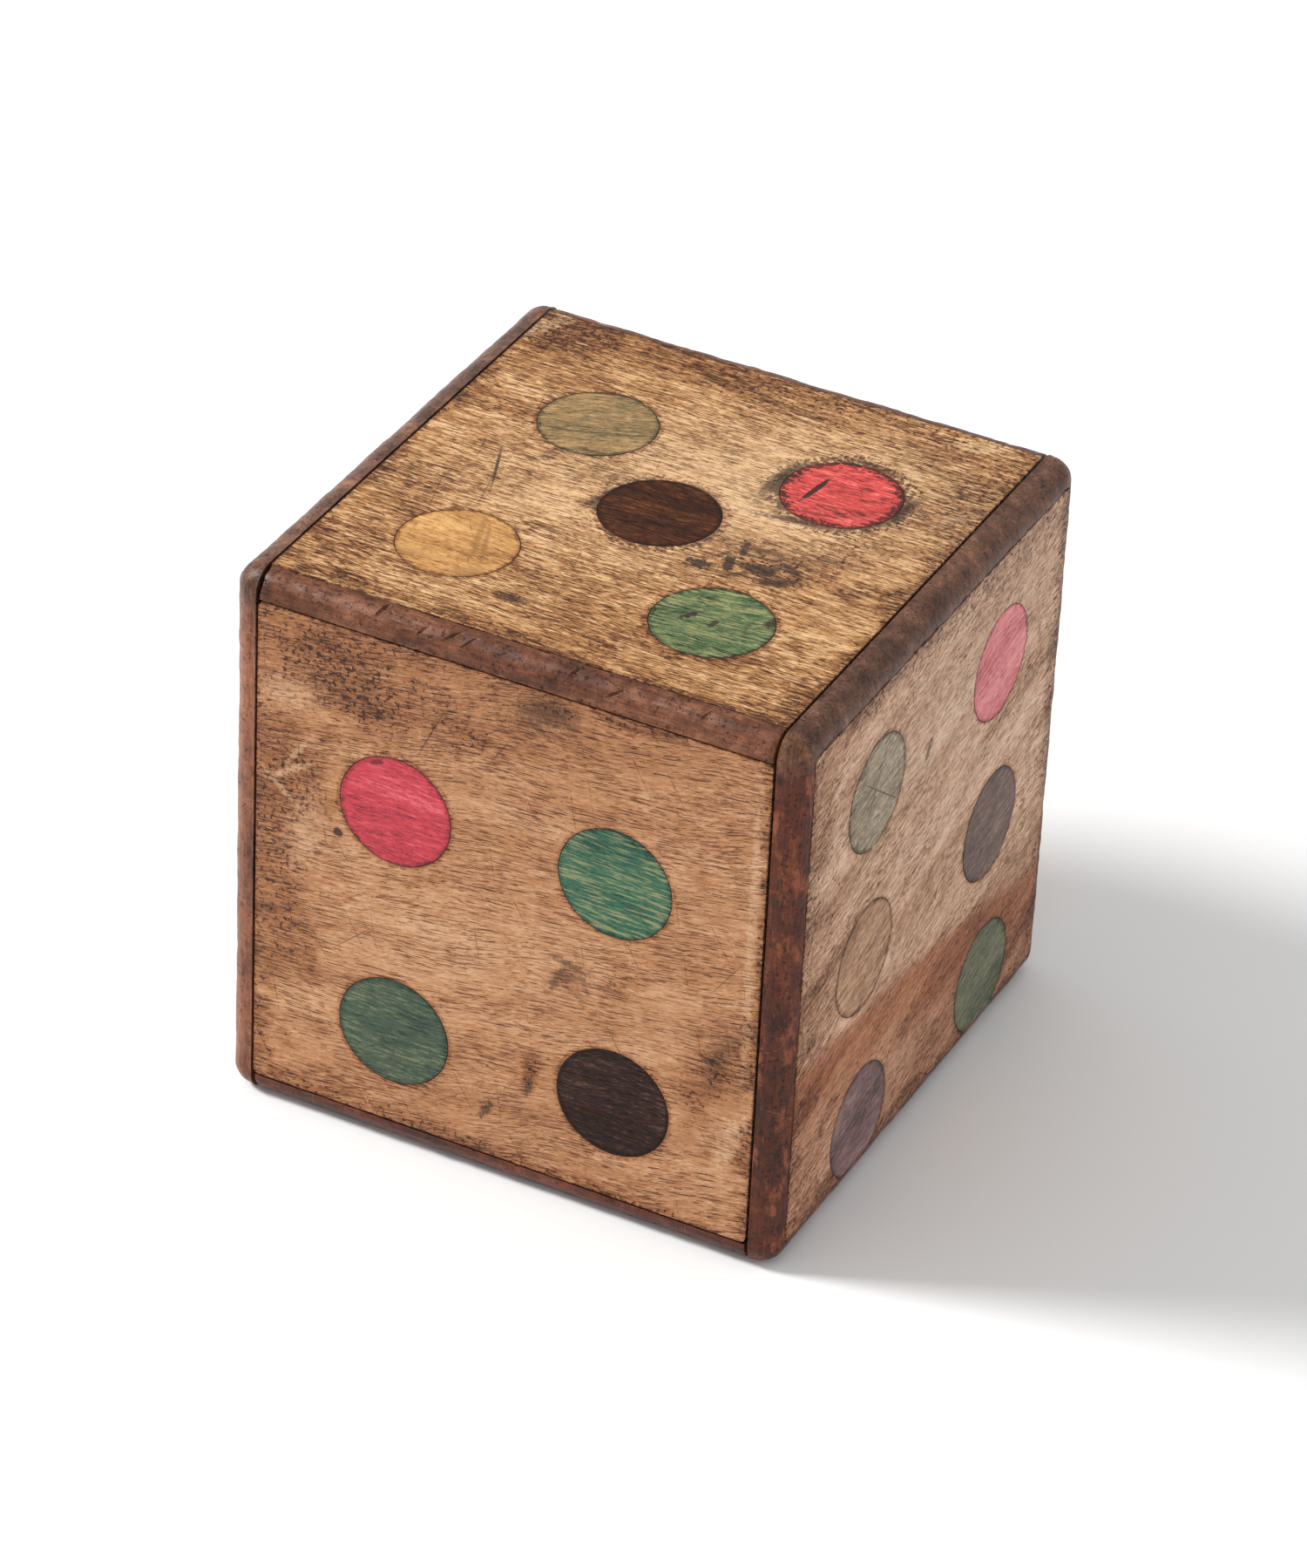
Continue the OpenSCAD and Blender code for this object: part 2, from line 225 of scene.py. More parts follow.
def make_dashes():
    inputs = {
        "Vector": (0, 0, 0),
        "Turn": 0.0,
        "Cell": (2, 0.5, 1),
        "Half Size": (0.7, 0.07, 1),
        "Share": 0.5,
        "Seed": 0.0,
    }
    tree, given, out = new_group("dashes", inputs, ["Mask"])
    shift = vectors(tree, "SCALE", (17.3, 9.1, 0), given["Seed"])
    turned = node(tree, "VectorRotate", {"Vector": given["Vector"], "Angle": given["Turn"]},
                  rotation_type="Z_AXIS").outputs[0]
    moved = vectors(tree, "ADD", turned, shift)
    cells = vectors(tree, "DIVIDE", moved, given["Cell"])
    scatter = node(tree, "TexVoronoi", {"Vector": cells, "Scale": 1.0, "Randomness": 0.9},
                   voronoi_dimensions="2D", feature="F1")
    away = vectors(tree, "SUBTRACT", cells, scatter.outputs["Position"])
    in_mm = vectors(tree, "MULTIPLY", away, given["Cell"])
    share_of_size = vectors(tree, "DIVIDE", in_mm, given["Half Size"])
    parts = node(tree, "SeparateXYZ", {0: share_of_size}).outputs
    lens = maths(tree, "SUBTRACT", 1.0, maths(tree, "MULTIPLY", parts[0], parts[0]))
    inside = maths(tree, "SUBTRACT", lens, maths(tree, "ABSOLUTE", parts[1]))
    dash = fade(tree, inside, 0.0, 0.7)
    chance = node(tree, "SeparateColor", {0: scatter.outputs["Color"]}).outputs
    kept = maths(tree, "LESS_THAN", chance[0], given["Share"])
    strength = maths(tree, "MULTIPLY_ADD", chance[1], 0.6, 0.4)
    shown = maths(tree, "MULTIPLY", maths(tree, "MULTIPLY", dash, kept), strength)
    tree.links.new(shown, out.inputs["Mask"])
    return tree


dashes = make_dashes()
print("made", dashes.name)

# %% [markdown]
# ## The figure of the wood
# Three things make up the figure: slow light and dark bands, fine fibre that runs along the
# grain, and the pores. All follow one grain direction that wanders a little, as it does in a
# real board. The clearest pores are drawn as dashes of two lengths, each given as its cell,
# its half size and a seed, and they come in flocks. The group gives back a tone from dark to
# pale rather than a colour, so that one recipe can serve every wood: each wood then turns tone
# into colours of its own. Dirt is an input, because dirt settles in the pores first and makes
# more of them show.

# %% The figure group
LONG_VESSELS = ((4.4, 0.75, 1), (2.1, 0.1, 1), 2.0)
SHORT_VESSELS = ((2.4, 0.5, 1), (1.1, 0.08, 1), 5.0)


def signed(tree, value):
    """Turns a noise around one half into one around nought."""
    return maths(tree, "MULTIPLY_ADD", value, 2.0, -1.0)


def make_figure():
    inputs = {
        "Vector": (0, 0, 0),
        "Turn": 0.0,
        "Wander": 1.5,
        "Seed": 0.0,
        "Dirt": 0.0,
        "Level": 0.62,
        "Grit": 0.5,
        "Streak": 0.4,
        "Drift": 0.3,
        "Pore Share": 0.5,
        "Pore Depth": 0.45,
        "Pore Scale": (0.6, 5.0, 1),
        "Vessels": 0.3,
    }
    tree, given, out = new_group("wood figure", inputs, ["Tone", "Pores", "Fibre"])
    shift = vectors(tree, "SCALE", (31.7, 12.9, 5.3), given["Seed"])
    turned = node(tree, "VectorRotate", {"Vector": given["Vector"], "Angle": given["Turn"]},
                  rotation_type="Z_AXIS").outputs[0]
    moved = vectors(tree, "ADD", turned, shift)
    slow = noise(tree, vectors(tree, "MULTIPLY", moved, (0.03, 0.07, 0.1)), detail=1.0)
    swing = maths(tree, "MULTIPLY", given["Wander"], 6.0)
    side = maths(tree, "MULTIPLY", maths(tree, "SUBTRACT", slow, 0.5), swing)
    grain = vectors(tree, "ADD", moved, node(tree, "CombineXYZ", {1: side}).outputs[0])
    drift = noise(tree, vectors(tree, "MULTIPLY", grain, (0.03, 0.22, 0.2)), detail=4.0)
    streak = noise(tree, vectors(tree, "MULTIPLY", grain, (0.26, 2.6, 0.8)), detail=3.0, roughness=0.6)
    grit = noise(tree, vectors(tree, "MULTIPLY", grain, (0.95, 6.0, 1.0)), detail=2.0, roughness=0.6)
    patch = noise(tree, vectors(tree, "MULTIPLY", moved, (0.09, 0.2, 0.1)), detail=4.0, roughness=0.6)
    share = maths(tree, "MULTIPLY_ADD", signed(tree, patch), 0.9, given["Pore Share"])
    share = maths(tree, "MULTIPLY_ADD", given["Dirt"], 0.35, share)
    start = maths(tree, "MULTIPLY_ADD", share, -0.12, 0.64)
    along = vectors(tree, "MULTIPLY", grain, given["Pore Scale"])
    long_pores = noise(tree, along, detail=3.0, roughness=0.55)
    short_pores = noise(tree, vectors(tree, "MULTIPLY", along, (2.1, 1.9, 1)), detail=2.0)
    pores = most(tree, [fade(tree, long_pores, start, maths(tree, "ADD", start, 0.1)),
                        fade(tree, short_pores, start, maths(tree, "ADD", start, 0.13))])
    flock = maths(tree, "MULTIPLY_ADD", signed(tree, patch), 3.2, 0.9)
    vessel_share = maths(tree, "MULTIPLY", flock, given["Vessels"])
    for cell, half, seed in (LONG_VESSELS, SHORT_VESSELS):
        vessels = use(tree, dashes, {"Vector": grain, "Cell": cell, "Half Size": half,
                                     "Share": vessel_share, "Seed": seed})["Mask"]
        pores = maths(tree, "MAXIMUM", pores, vessels)
    tone = maths(tree, "MULTIPLY_ADD", signed(tree, grit), given["Grit"], given["Level"])
    tone = maths(tree, "MULTIPLY_ADD", signed(tree, streak), given["Streak"], tone)
    tone = maths(tree, "MULTIPLY_ADD", signed(tree, drift), given["Drift"], tone)
    sunk = maths(tree, "MULTIPLY", pores, given["Pore Depth"])
    tree.links.new(maths(tree, "SUBTRACT", tone, sunk), out.inputs["Tone"])
    tree.links.new(pores, out.inputs["Pores"])
    tree.links.new(fade(tree, streak, 0.36, 0.64), out.inputs["Fibre"])
    return tree


figure = make_figure()
print("made", figure.name)

# %% [markdown]
# ## Marks, glue lines and handled edges
# Dirt gathers where a thumb rests: along a face's edges and in the glue line round each pip.
# Single marks, such as an ink spot or a dent that has gone dark, are ellipses with a ragged
# outline, so that each can be put where it belongs. The raggedness is one noise for the whole
# face, made outside and handed in, because making it again for each mark would be slow.

# %% Groups for single marks, for the ring round a pip and for a face's edges


def make_mark():
    inputs = {
        "Vector": (0, 0, 0),
        "Rough": 0.5,
        "Centre": (0, 0, 0),
        "Turn": 0.0,
        "Half Size": (2, 1, 1),
        "Ragged": 0.3,
        "Soft": 0.3,
    }
    tree, given, out = new_group("mark", inputs, ["Mask"])
    away = vectors(tree, "SUBTRACT", given["Vector"], given["Centre"])
    flat = vectors(tree, "MULTIPLY", away, (1, 1, 0))
    back = maths(tree, "MULTIPLY", given["Turn"], -1.0)
    turned = node(tree, "VectorRotate", {"Vector": flat, "Angle": back}, rotation_type="Z_AXIS").outputs[0]
    reach = vectors(tree, "LENGTH", vectors(tree, "DIVIDE", turned, given["Half Size"]))
    wobble = maths(tree, "MULTIPLY", signed(tree, given["Rough"]), given["Ragged"])
    edge = maths(tree, "MULTIPLY_ADD", wobble, 2.4, reach)
    outer = maths(tree, "ADD", 1.0, given["Soft"])
    inner = maths(tree, "SUBTRACT", 1.0, given["Soft"])
    tree.links.new(fade(tree, edge, outer, inner), out.inputs["Mask"])
    return tree


def make_ring():
    inputs = {"Vector": (0, 0, 0), "Rough": 0.5, "Centre": (0, 0, 0), "Radius": 7.5, "Dirt": 1.0}
    tree, given, out = new_group("pip ring", inputs, ["Line", "Halo"])
    away = vectors(tree, "SUBTRACT", given["Vector"], given["Centre"])
    reach = vectors(tree, "LENGTH", vectors(tree, "MULTIPLY", away, (1, 1, 0)))
    off = maths(tree, "ABSOLUTE", maths(tree, "SUBTRACT", reach, given["Radius"]))
    width = maths(tree, "MULTIPLY_ADD", signed(tree, given["Rough"]), 0.22, 0.02)
    width = maths(tree, "MULTIPLY_ADD", given["Dirt"], 0.06, width)
    line = fade(tree, maths(tree, "SUBTRACT", off, width), 0.1, 0.0)
    spread = maths(tree, "MULTIPLY", maths(tree, "SUBTRACT", given["Rough"], 0.42), given["Dirt"])
    halo = fade(tree, maths(tree, "MULTIPLY_ADD", spread, -5.5, off), 0.5, 0.0)
    tree.links.new(line, out.inputs["Line"])
    tree.links.new(halo, out.inputs["Halo"])
    return tree


def make_edge():
    inputs = {
        "Vector": (0, 0, 0),
        "Rough": 0.5,
        "Fine": 0.5,
        "Centre": (0, 0, 0),
        "Half Size": (34, 34, 1),
        "Reach": 3.0,
        "Ragged": 6.0,
    }
    tree, given, out = new_group("face edge", inputs, ["Dirt", "Worn"])
    away = vectors(tree, "SUBTRACT", given["Vector"], given["Centre"])
    inside = vectors(tree, "SUBTRACT", given["Half Size"], vectors(tree, "ABSOLUTE", away))
    parts = node(tree, "SeparateXYZ", {0: inside}).outputs
    near = maths(tree, "MINIMUM", parts[0], parts[1])
    wobble = maths(tree, "MULTIPLY", signed(tree, given["Rough"]), given["Ragged"])
    depth = maths(tree, "SUBTRACT", near, wobble)
    tree.links.new(fade(tree, depth, given["Reach"], 0.0), out.inputs["Dirt"])
    worn = maths(tree, "MULTIPLY_ADD", signed(tree, given["Fine"]), -0.9, near)
    tree.links.new(fade(tree, worn, 0.25, -0.05), out.inputs["Worn"])
    return tree


mark, ring, face_edge = make_mark(), make_ring(), make_edge()
print("made", mark.name, ring.name, face_edge.name)

# %% [markdown]
# ## Starting and finishing a material
# Every wood here starts from its face's flat coordinates and ends in one Principled shader. A
# worn, waxed wood has no thick varnish: it is fairly rough, and only its high fibres shine.

# %% Start and finish a material


def start_material(name, face):
    material = bpy.data.materials.new(name)
    material.use_nodes = True
    tree = material.node_tree
    tree.nodes.clear()
    flat = node(tree, "Mapping", {"Vector": node(tree, "TexCoord").outputs["Object"]}, vector_type="POINT")
    turn = face_turn(face)
    flat.inputs["Scale"].default_value = (1 / MM, 1 / MM, 1 / MM)
    flat.inputs["Rotation"].default_value = turn
    flat.inputs["Location"].default_value = turn.to_matrix() @ (face_middle(face) / -MM)
    return material, tree, flat.outputs[0]


def tone_colours(tree, tone, colours):
    """Turns a tone into colour: the colours are spread evenly from the darkest to the palest."""
    ramp = node(tree, "ValToRGB", {0: tone})
    stops = ramp.color_ramp.elements
    while len(stops) < len(colours):
        stops.new(0.5)
    for place, (stop, colour) in enumerate(zip(stops, colours)):
        stop.position = place / (len(colours) - 1)
        stop.color = colour
    return ramp.outputs[0]


def finish_material(tree, colour, roughness, height, relief=0.06, shine=0.4):
    """Height is in shares of the relief, which is in millimetres."""
    bump = node(tree, "Bump", {"Height": height, "Strength": 1.0, "Distance": relief * MM})
    shader = node(tree, "BsdfPrincipled", {"Base Color": colour, "Roughness": roughness,
                                           "Normal": bump.outputs[0]})
    shader.inputs["Specular IOR Level"].default_value = shine
    out = tree.nodes.new("ShaderNodeOutputMaterial")
    tree.links.new(shader.outputs[0], out.inputs["Surface"])


def marks_on(tree, flat, rough, marks):
    """One mask from a list of marks: centre, turn in degrees, half size, ragged, soft, strength."""
    masks = []
    for centre, turn, half, ragged, soft, strength in marks:
        made = use(tree, mark, {"Vector": flat, "Rough": rough, "Centre": (*centre, 0),
                                "Turn": math.radians(turn), "Half Size": (*half, 1),
                                "Ragged": ragged, "Soft": soft})
        masks.append(maths(tree, "MULTIPLY", made["Mask"], strength))
    return most(tree, masks)


def dash_marks(tree, flat, cell, half, share, turns):
    """Dashes at several angles, in degrees, laid over each other."""
    masks = []
    for count, turn in enumerate(turns):
        made = use(tree, dashes, {"Vector": flat, "Turn": math.radians(turn), "Cell": (*cell, 1),
                                  "Half Size": (*half, 1), "Share": share, "Seed": turn + 7.0 * count})
        masks.append(made["Mask"])
    return most(tree, masks)


def paints(*colours):
    return [paint(*colour) for colour in colours]


print("ready to make materials")

# %% [markdown]
# ## The light veneers
# Each face's veneer is one sheet of open-pored wood, so they share one recipe and differ in
# colour, grain direction and in what has happened to them. The layers go on in the order in
# which the real ones came: wood, dirt rubbed into the pores, rubbed places, the glue line
# round each pip, and last the scratches and the edges where the dark core shows through.

# %% Parts of the veneer recipe
CORE_DARK = paint(70, 42, 31)


def round_the_pips(tree, flat, fine, wide, face, pips):
    """The glue lines, broken up as dirt has filled them, and the grime beside them."""
    lines, halos = [], []
    for pip, dirt_amount in pips.items():
        centre, radius = pip_circle(face, pip)
        around = use(tree, ring, {"Vector": flat, "Rough": fine, "Centre": centre, "Radius": radius,
                                  "Dirt": dirt_amount})
        lines.append(around["Line"])
        halos.append(maths(tree, "MULTIPLY", around["Halo"], 0.2 + 0.6 * dirt_amount))
    whole = maths(tree, "MULTIPLY_ADD", fade(tree, wide, 0.42, 0.56), 0.7, 0.3)
    return maths(tree, "MULTIPLY", most(tree, lines), whole), most(tree, halos)


def stained_band(tree, flat, wide, look, tone, colour):
    """A reddish band along the lower part of a panel, with a bowed upper edge."""
    start, slope, bend = look["band"]
    place = node(tree, "SeparateXYZ", {0: flat}).outputs
    bow = maths(tree, "MULTIPLY_ADD", place[0], bend, slope)
    curve = maths(tree, "MULTIPLY_ADD", place[0], bow, start)
    above = maths(tree, "SUBTRACT", place[1], curve)
    above = maths(tree, "MULTIPLY_ADD", signed(tree, wide), 1.5, above)
    inside = fade(tree, above, 1.8, -1.6)
    paler_below = maths(tree, "MULTIPLY_ADD", fade(tree, above, -5.0, -14.0), -0.5, 1.0)
    reddish = tone_colours(tree, tone, look["band_colours"])
    return mix(tree, maths(tree, "MULTIPLY", inside, paler_below), colour, reddish)


def veneer_figure(tree, flat, dirt, look):
    return use(tree, figure, {
        "Vector": flat,
        "Turn": math.radians(-look["grain"]),
        "Wander": look["wander"],
        "Seed": look["seed"],
        "Dirt": dirt,
        "Level": look["level"],
        "Grit": look["grit"],
        "Streak": look["streak"],
        "Drift": look["drift"],
        "Pore Share": look["pores"],
        "Pore Depth": look["pore_depth"],
        "Pore Scale": (*look["pore_scale"], 1),
        "Vessels": look["vessels"],
    })


print("parts of the veneer recipe are ready")

# %% [markdown]
# The whole recipe works on the tone first and on the colour last. Anything that darkens or
# bleaches the wood itself changes its tone, so the grain still shows through it. The reddish
# band turns the same tone into other colours. Ink, glue, the chalky bloom of a rubbed place
# and bared core have colours of their own, which are mixed in after that.

# %% The veneer recipe


def veneer(name, face, pips, look):
    material, tree, flat = start_material(name, face)
    fine = noise(tree, flat, scale=1.5, detail=5.0, roughness=0.62)
    wide = noise(tree, flat, scale=look["grime_scale"], detail=7.0, roughness=0.66)
    half = [side / 2 / MM for side in look["size"]]
    edge = use(tree, face_edge, {"Vector": flat, "Rough": wide, "Fine": fine,
                                 "Centre": (*look["middle"], 0), "Half Size": (*half, 1),
                                 "Reach": look["edge_reach"], "Ragged": look["edge_ragged"]})
    start = look["grime_start"]
    grime = maths(tree, "MULTIPLY", fade(tree, wide, start, start + 0.14), 0.6)
    stains = marks_on(tree, flat, wide, look["stains"])
    dirt = most(tree, [grime, maths(tree, "MULTIPLY", edge["Dirt"], 0.8), stains])
    grain = veneer_figure(tree, flat, dirt, look)
    specks = maths(tree, "MULTIPLY_ADD", dirt, -0.13, 0.65)
    specked = fade(tree, fine, specks, maths(tree, "ADD", specks, 0.06))
    line, halo = round_the_pips(tree, flat, fine, wide, face, pips)
    scratches = dash_marks(tree, flat, (11, 4.2), (3.8, 0.1), look["scratched"], look["scratch_turns"])
    scratched = maths(tree, "MULTIPLY", scratches, fade(tree, fine, 0.35, 0.6))
    # Rubbed places make the tone paler, and so does one broad row of painted light on the right end.
    rubbed = marks_on(tree, flat, fine, look["rubbed"])
    tone = maths(tree, "MULTIPLY_ADD", dirt, look["dirt_depth"], grain["Tone"])
    speck_depth = maths(tree, "MULTIPLY_ADD", dirt, -0.55, -look["specks"])
    tone = maths(tree, "MULTIPLY_ADD", specked, speck_depth, tone)
    tone = maths(tree, "MULTIPLY_ADD", halo, -0.5, tone)
    tone = maths(tree, "MULTIPLY_ADD", scratched, -0.3, tone)
    tone = maths(tree, "MULTIPLY_ADD", rubbed, 0.3, tone)
    colour = tone_colours(tree, tone, look["colours"])
    if "band" in look:
        colour = stained_band(tree, flat, wide, look, tone, colour)
    colour = mix(tree, maths(tree, "MULTIPLY", rubbed, 0.35), colour, look["chalk"])
    inked = marks_on(tree, flat, fine, look["ink"])
    colour = mix(tree, inked, colour, look["ink_colour"])
    colour = mix(tree, maths(tree, "MULTIPLY", line, look["line"]), colour, look["glue"])
    colour = mix(tree, maths(tree, "MULTIPLY", edge["Worn"], look["worn"]), colour, CORE_DARK)
    low_parts = most(tree, [maths(tree, "MULTIPLY", grain["Pores"], 0.8), scratched, line, inked])
    height = maths(tree, "SUBTRACT", maths(tree, "MULTIPLY", grain["Tone"], 0.5), low_parts)
    roughness = maths(tree, "MULTIPLY_ADD", grain["Fibre"], 0.1, look["roughness"])
    roughness = maths(tree, "MULTIPLY_ADD", low_parts, 0.2, roughness)
    roughness = maths(tree, "MULTIPLY_ADD", dirt, -0.08, roughness, clamp=True)
    finish_material(tree, colour, roughness, height, relief=0.07, shine=0.2)
    return material


print("the veneer recipe is ready")

# %% [markdown]
# ## What has happened to each face
# The top is the palest and has the boldest pores. The front is warmer, with dark corners on
# its left. The two end panels have a finer, steeper grain, and a reddish band runs across the
# right one. The marks are placed one by one, in millimetres from the middle of the face: each
# row is a centre, a turn in degrees, a half size, how ragged, how soft and how strong it is.
# Stains sink in and darken the grain, ink lies on top, and rubbed places are paler; one broad
# pale row on the right end is painted light instead.

# %% Values for the top veneer


def sheet_look(node_name, face, **look):
    low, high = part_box(node_name)
    turn = face_turn(face).to_matrix()
    size = turn @ (high - low)
    look["size"] = (abs(size.x), abs(size.y))
    look["middle"] = on_face(face, (low + high) / 2).xy
    return look


coral = pip_circle("top", "top_pip_back_right")[0]
# Black grime has gathered on all four sides of the coral pip.
grimy_rim = [
    ((coral.x - 8.2, coral.y - 0.6), 84, (3.6, 0.8), 0.95, 0.5, 0.75),
    ((coral.x - 2.5, coral.y - 8.2), 8, (4.2, 0.6), 0.95, 0.5, 0.7),
    ((coral.x + 8.2, coral.y + 0.8), 84, (3.2, 0.7), 0.95, 0.5, 0.75),
    ((coral.x + 1.5, coral.y + 8.1), -6, (3.6, 0.5), 0.95, 0.5, 0.6),
]
top_look = sheet_look(
    "top_veneer", "top", seed=1.0, grain=0.5, wander=0.4, level=0.78, grit=0.6, streak=0.8,
    drift=0.36, specks=0.0, worn=0.8, line=0.7, vessels=0.5, pores=0.42, pore_depth=0.62,
    pore_scale=(0.42, 3.6), dirt_depth=-0.3, roughness=0.44,
    # The palest of these colours, with the strong grit and streak, is partly painted glints: raised fibres
    # catching the light, laid over the wood's own pale fibre.
    colours=paints((66, 32, 15), (108, 61, 29), (150, 100, 55), (184, 137, 88), (220, 179, 133)),
    glue=paint(58, 38, 26), chalk=paint(205, 180, 150), ink_colour=paint(40, 32, 28),
    grime_scale=0.1, grime_start=0.5, edge_reach=3.0, edge_ragged=9.0,
    stains=[
        ((-6.2, -26.9), -4, (2.4, 1.1), 0.3, 0.5, 0.9),
        ((6.5, -30.8), -4, (5.0, 1.8), 0.5, 0.6, 0.8),
        ((15.6, -28.2), 20, (1.8, 1.3), 0.4, 0.4, 0.9),
        ((16.0, -4.5), -8, (8.0, 4.6), 0.8, 0.7, 1.0),
        ((-7.9, -2.6), 70, (3.0, 1.4), 0.5, 0.5, 0.7),
        # From here on, broad soft rows darken whole stretches of the top: its back, its right side, its
        # front strip and its left side.
        ((-29, 31), 40, (10, 6), 0.8, 0.9, 1.1),
        ((24, 3), 50, (8, 4), 0.8, 0.9, 0.75),
        ((4, 33), 0, (30, 6.5), 0.8, 0.9, 0.85),
        ((32, 24), 90, (14, 5), 0.8, 0.9, 0.8),
        ((-4, -33), 0, (26, 2.2), 0.8, 0.9, 0.5),
        ((-4, -27), 0, (30, 8), 0.9, 0.9, 0.4),
        ((-27, -12), 80, (22, 6), 0.9, 0.9, 0.4),
    ],
    ink=[
        ((9.2, -8.6), 10, (1.6, 1.0), 0.8, 0.2, 0.9),
        ((12.3, -6.9), -70, (1.8, 0.7), 0.8, 0.2, 0.9),
        ((15.8, -6.4), 0, (2.1, 0.8), 0.9, 0.2, 0.85),
        ((12.5, -3.0), -75, (1.6, 0.5), 0.8, 0.25, 0.8),
        ((18.8, -8.0), 20, (1.8, 0.8), 0.9, 0.3, 0.8),
        ((19.6, -4.6), -20, (1.4, 0.5), 0.9, 0.3, 0.75),
        ((15.2, -2.2), 0, (2.4, 0.4), 0.9, 0.3, 0.6),
        ((13.9, -8.6), 40, (1.3, 0.4), 0.9, 0.3, 0.75),
        ((17.4, -5.6), 55, (1.4, 0.4), 0.9, 0.3, 0.75),
        ((10.8, -5.2), 60, (1.2, 0.35), 0.9, 0.3, 0.7),
        ((20.8, -6.4), 70, (1.0, 0.35), 0.9, 0.3, 0.7),
        ((-7.9, -2.4), 65, (1.8, 0.5), 0.8, 0.4, 0.7),
        ((-6.2, -26.9), -4, (2.0, 0.7), 0.8, 0.4, 0.6),
        ((-21.8, -1.8), -69, (4.6, 0.2), 0.1, 0.6, 0.85),
        ((-20.3, -7.6), -77, (3.0, 0.12), 0.1, 0.6, 0.5),
        ((-25.4, -10.4), -74, (5.0, 0.07), 0.05, 0.5, 0.5),
        *grimy_rim,
    ],
    rubbed=[
        ((-1.3, 21.8), 40, (2.4, 0.5), 0.9, 0.6, 0.6),
        ((31.0, 16.0), 60, (3.2, 1.1), 0.9, 0.6, 0.6),
        ((27.0, 33.0), 20, (3.4, 1.2), 0.9, 0.6, 0.6),
        ((-33, 31), 60, (4.0, 1.2), 0.9, 0.6, 0.6),
        ((6, 8), 20, (24, 14), 0.9, 0.95, 0.5),
    ],
    scratched=0.3, scratch_turns=(75, -50, 20),
)
print("top look set")

# %% [markdown]
# The front is handled most at its left. Dirt there sits in specks, with pale scrapes across
# it, and older stains show as rings and blots lower down.

# %% Values for the front veneer
front_look = sheet_look(
    "front_veneer", "front", seed=4.0, grain=8, wander=0.9, level=0.8, grit=0.32, streak=0.4,
    drift=0.26, specks=0.05, worn=0.7, line=0.45, vessels=0.75, pores=0.05, pore_depth=0.58,
    pore_scale=(0.5, 4.8), dirt_depth=-0.31, roughness=0.46,
    colours=paints((60, 32, 19), (104, 58, 34), (146, 94, 58), (178, 126, 87), (205, 162, 125)),
    glue=paint(64, 42, 30), chalk=paint(200, 172, 140), ink_colour=paint(48, 38, 32),
    grime_scale=0.09, grime_start=0.55, edge_reach=2.2, edge_ragged=8.0,
    stains=[
        ((-23, 30), -6, (12, 4.0), 0.8, 0.8, 1.0),
        ((-31, 6), 88, (22, 6.0), 0.9, 0.8, 0.85),
        ((-20, 28), -4, (16, 7), 0.9, 0.9, 1.0),
        # These two broad soft rows darken the upper and the lower strip of the front as a whole.
        ((2, 28), -4, (30, 6), 0.9, 0.95, 0.4),
        ((0, -29), 0, (30, 7), 0.9, 0.95, 0.28),
        ((4.6, 32.4), 0, (4.0, 2.2), 0.6, 0.6, 0.9),
        ((29, -11), 70, (8.0, 3.2), 0.8, 0.8, 1.0),
        ((8.9, -4.6), 0, (2.8, 2.4), 0.9, 0.8, 0.6),
        ((4.0, -21.4), 80, (3.4, 1.2), 0.7, 0.5, 0.9),
        ((-10, -33.5), -4, (22, 1.6), 0.8, 0.9, 0.7),
    ],
    ink=[
        ((-22.7, 5.4), 0, (0.65, 0.6), 0.25, 0.2, 0.9),
        ((4.4, 31.4), 15, (3.6, 1.8), 0.9, 0.8, 0.65),
        ((3.2, 29.6), -30, (1.6, 0.5), 0.9, 0.5, 0.6),
        ((7.4, -5.2), 60, (2.3, 0.55), 0.9, 0.5, 0.6),
        ((9.2, -2.7), -14, (2.1, 0.5), 0.9, 0.5, 0.6),
        ((10.9, -4.3), 112, (1.7, 0.4), 0.9, 0.5, 0.5),
        ((9.6, -6.4), -20, (1.4, 0.35), 0.9, 0.5, 0.35),
        ((9.0, -4.5), 32, (1.3, 0.45), 0.9, 0.5, 0.4),
        ((14.2, -4.4), 4, (2.6, 0.4), 0.9, 0.6, 0.35),
        ((29.6, -8.0), 65, (3.6, 1.2), 0.9, 0.9, 0.4),
        ((-1.6, -28.0), 60, (1.5, 0.5), 0.8, 0.3, 0.7),
        ((4.2, -22.2), 80, (1.4, 0.4), 0.8, 0.3, 0.6),
        ((-10.6, 23.4), 65, (3.6, 0.1), 0.1, 0.5, 0.6),
        ((-1.4, 24.0), 58, (2.8, 0.08), 0.1, 0.5, 0.5),
        ((-20.6, -9.4), 42, (2.8, 0.08), 0.1, 0.5, 0.5),
        ((29.8, 3.0), 55, (3.6, 0.08), 0.1, 0.5, 0.5),
    ],
    rubbed=[
        ((31.3, -20.5), 70, (3.4, 1.1), 0.9, 0.6, 0.6),
        ((-30.5, 23.0), 10, (4.0, 2.0), 0.9, 0.8, 0.6),
        ((-27.5, 4.0), 80, (5.0, 2.0), 0.9, 0.8, 0.5),
        ((-29.5, 12.0), 35, (3.6, 0.4), 0.5, 0.6, 0.8),
        ((-30.5, 9.0), -40, (3.0, 0.35), 0.5, 0.6, 0.8),
        ((-28.5, 15.0), 55, (2.6, 0.35), 0.5, 0.6, 0.7),
        ((32.6, 10.0), 90, (18.0, 0.6), 0.9, 0.6, 0.5),
    ],
    scratched=0.3, scratch_turns=(60, -35, 15, 80),
)
print("front look set")
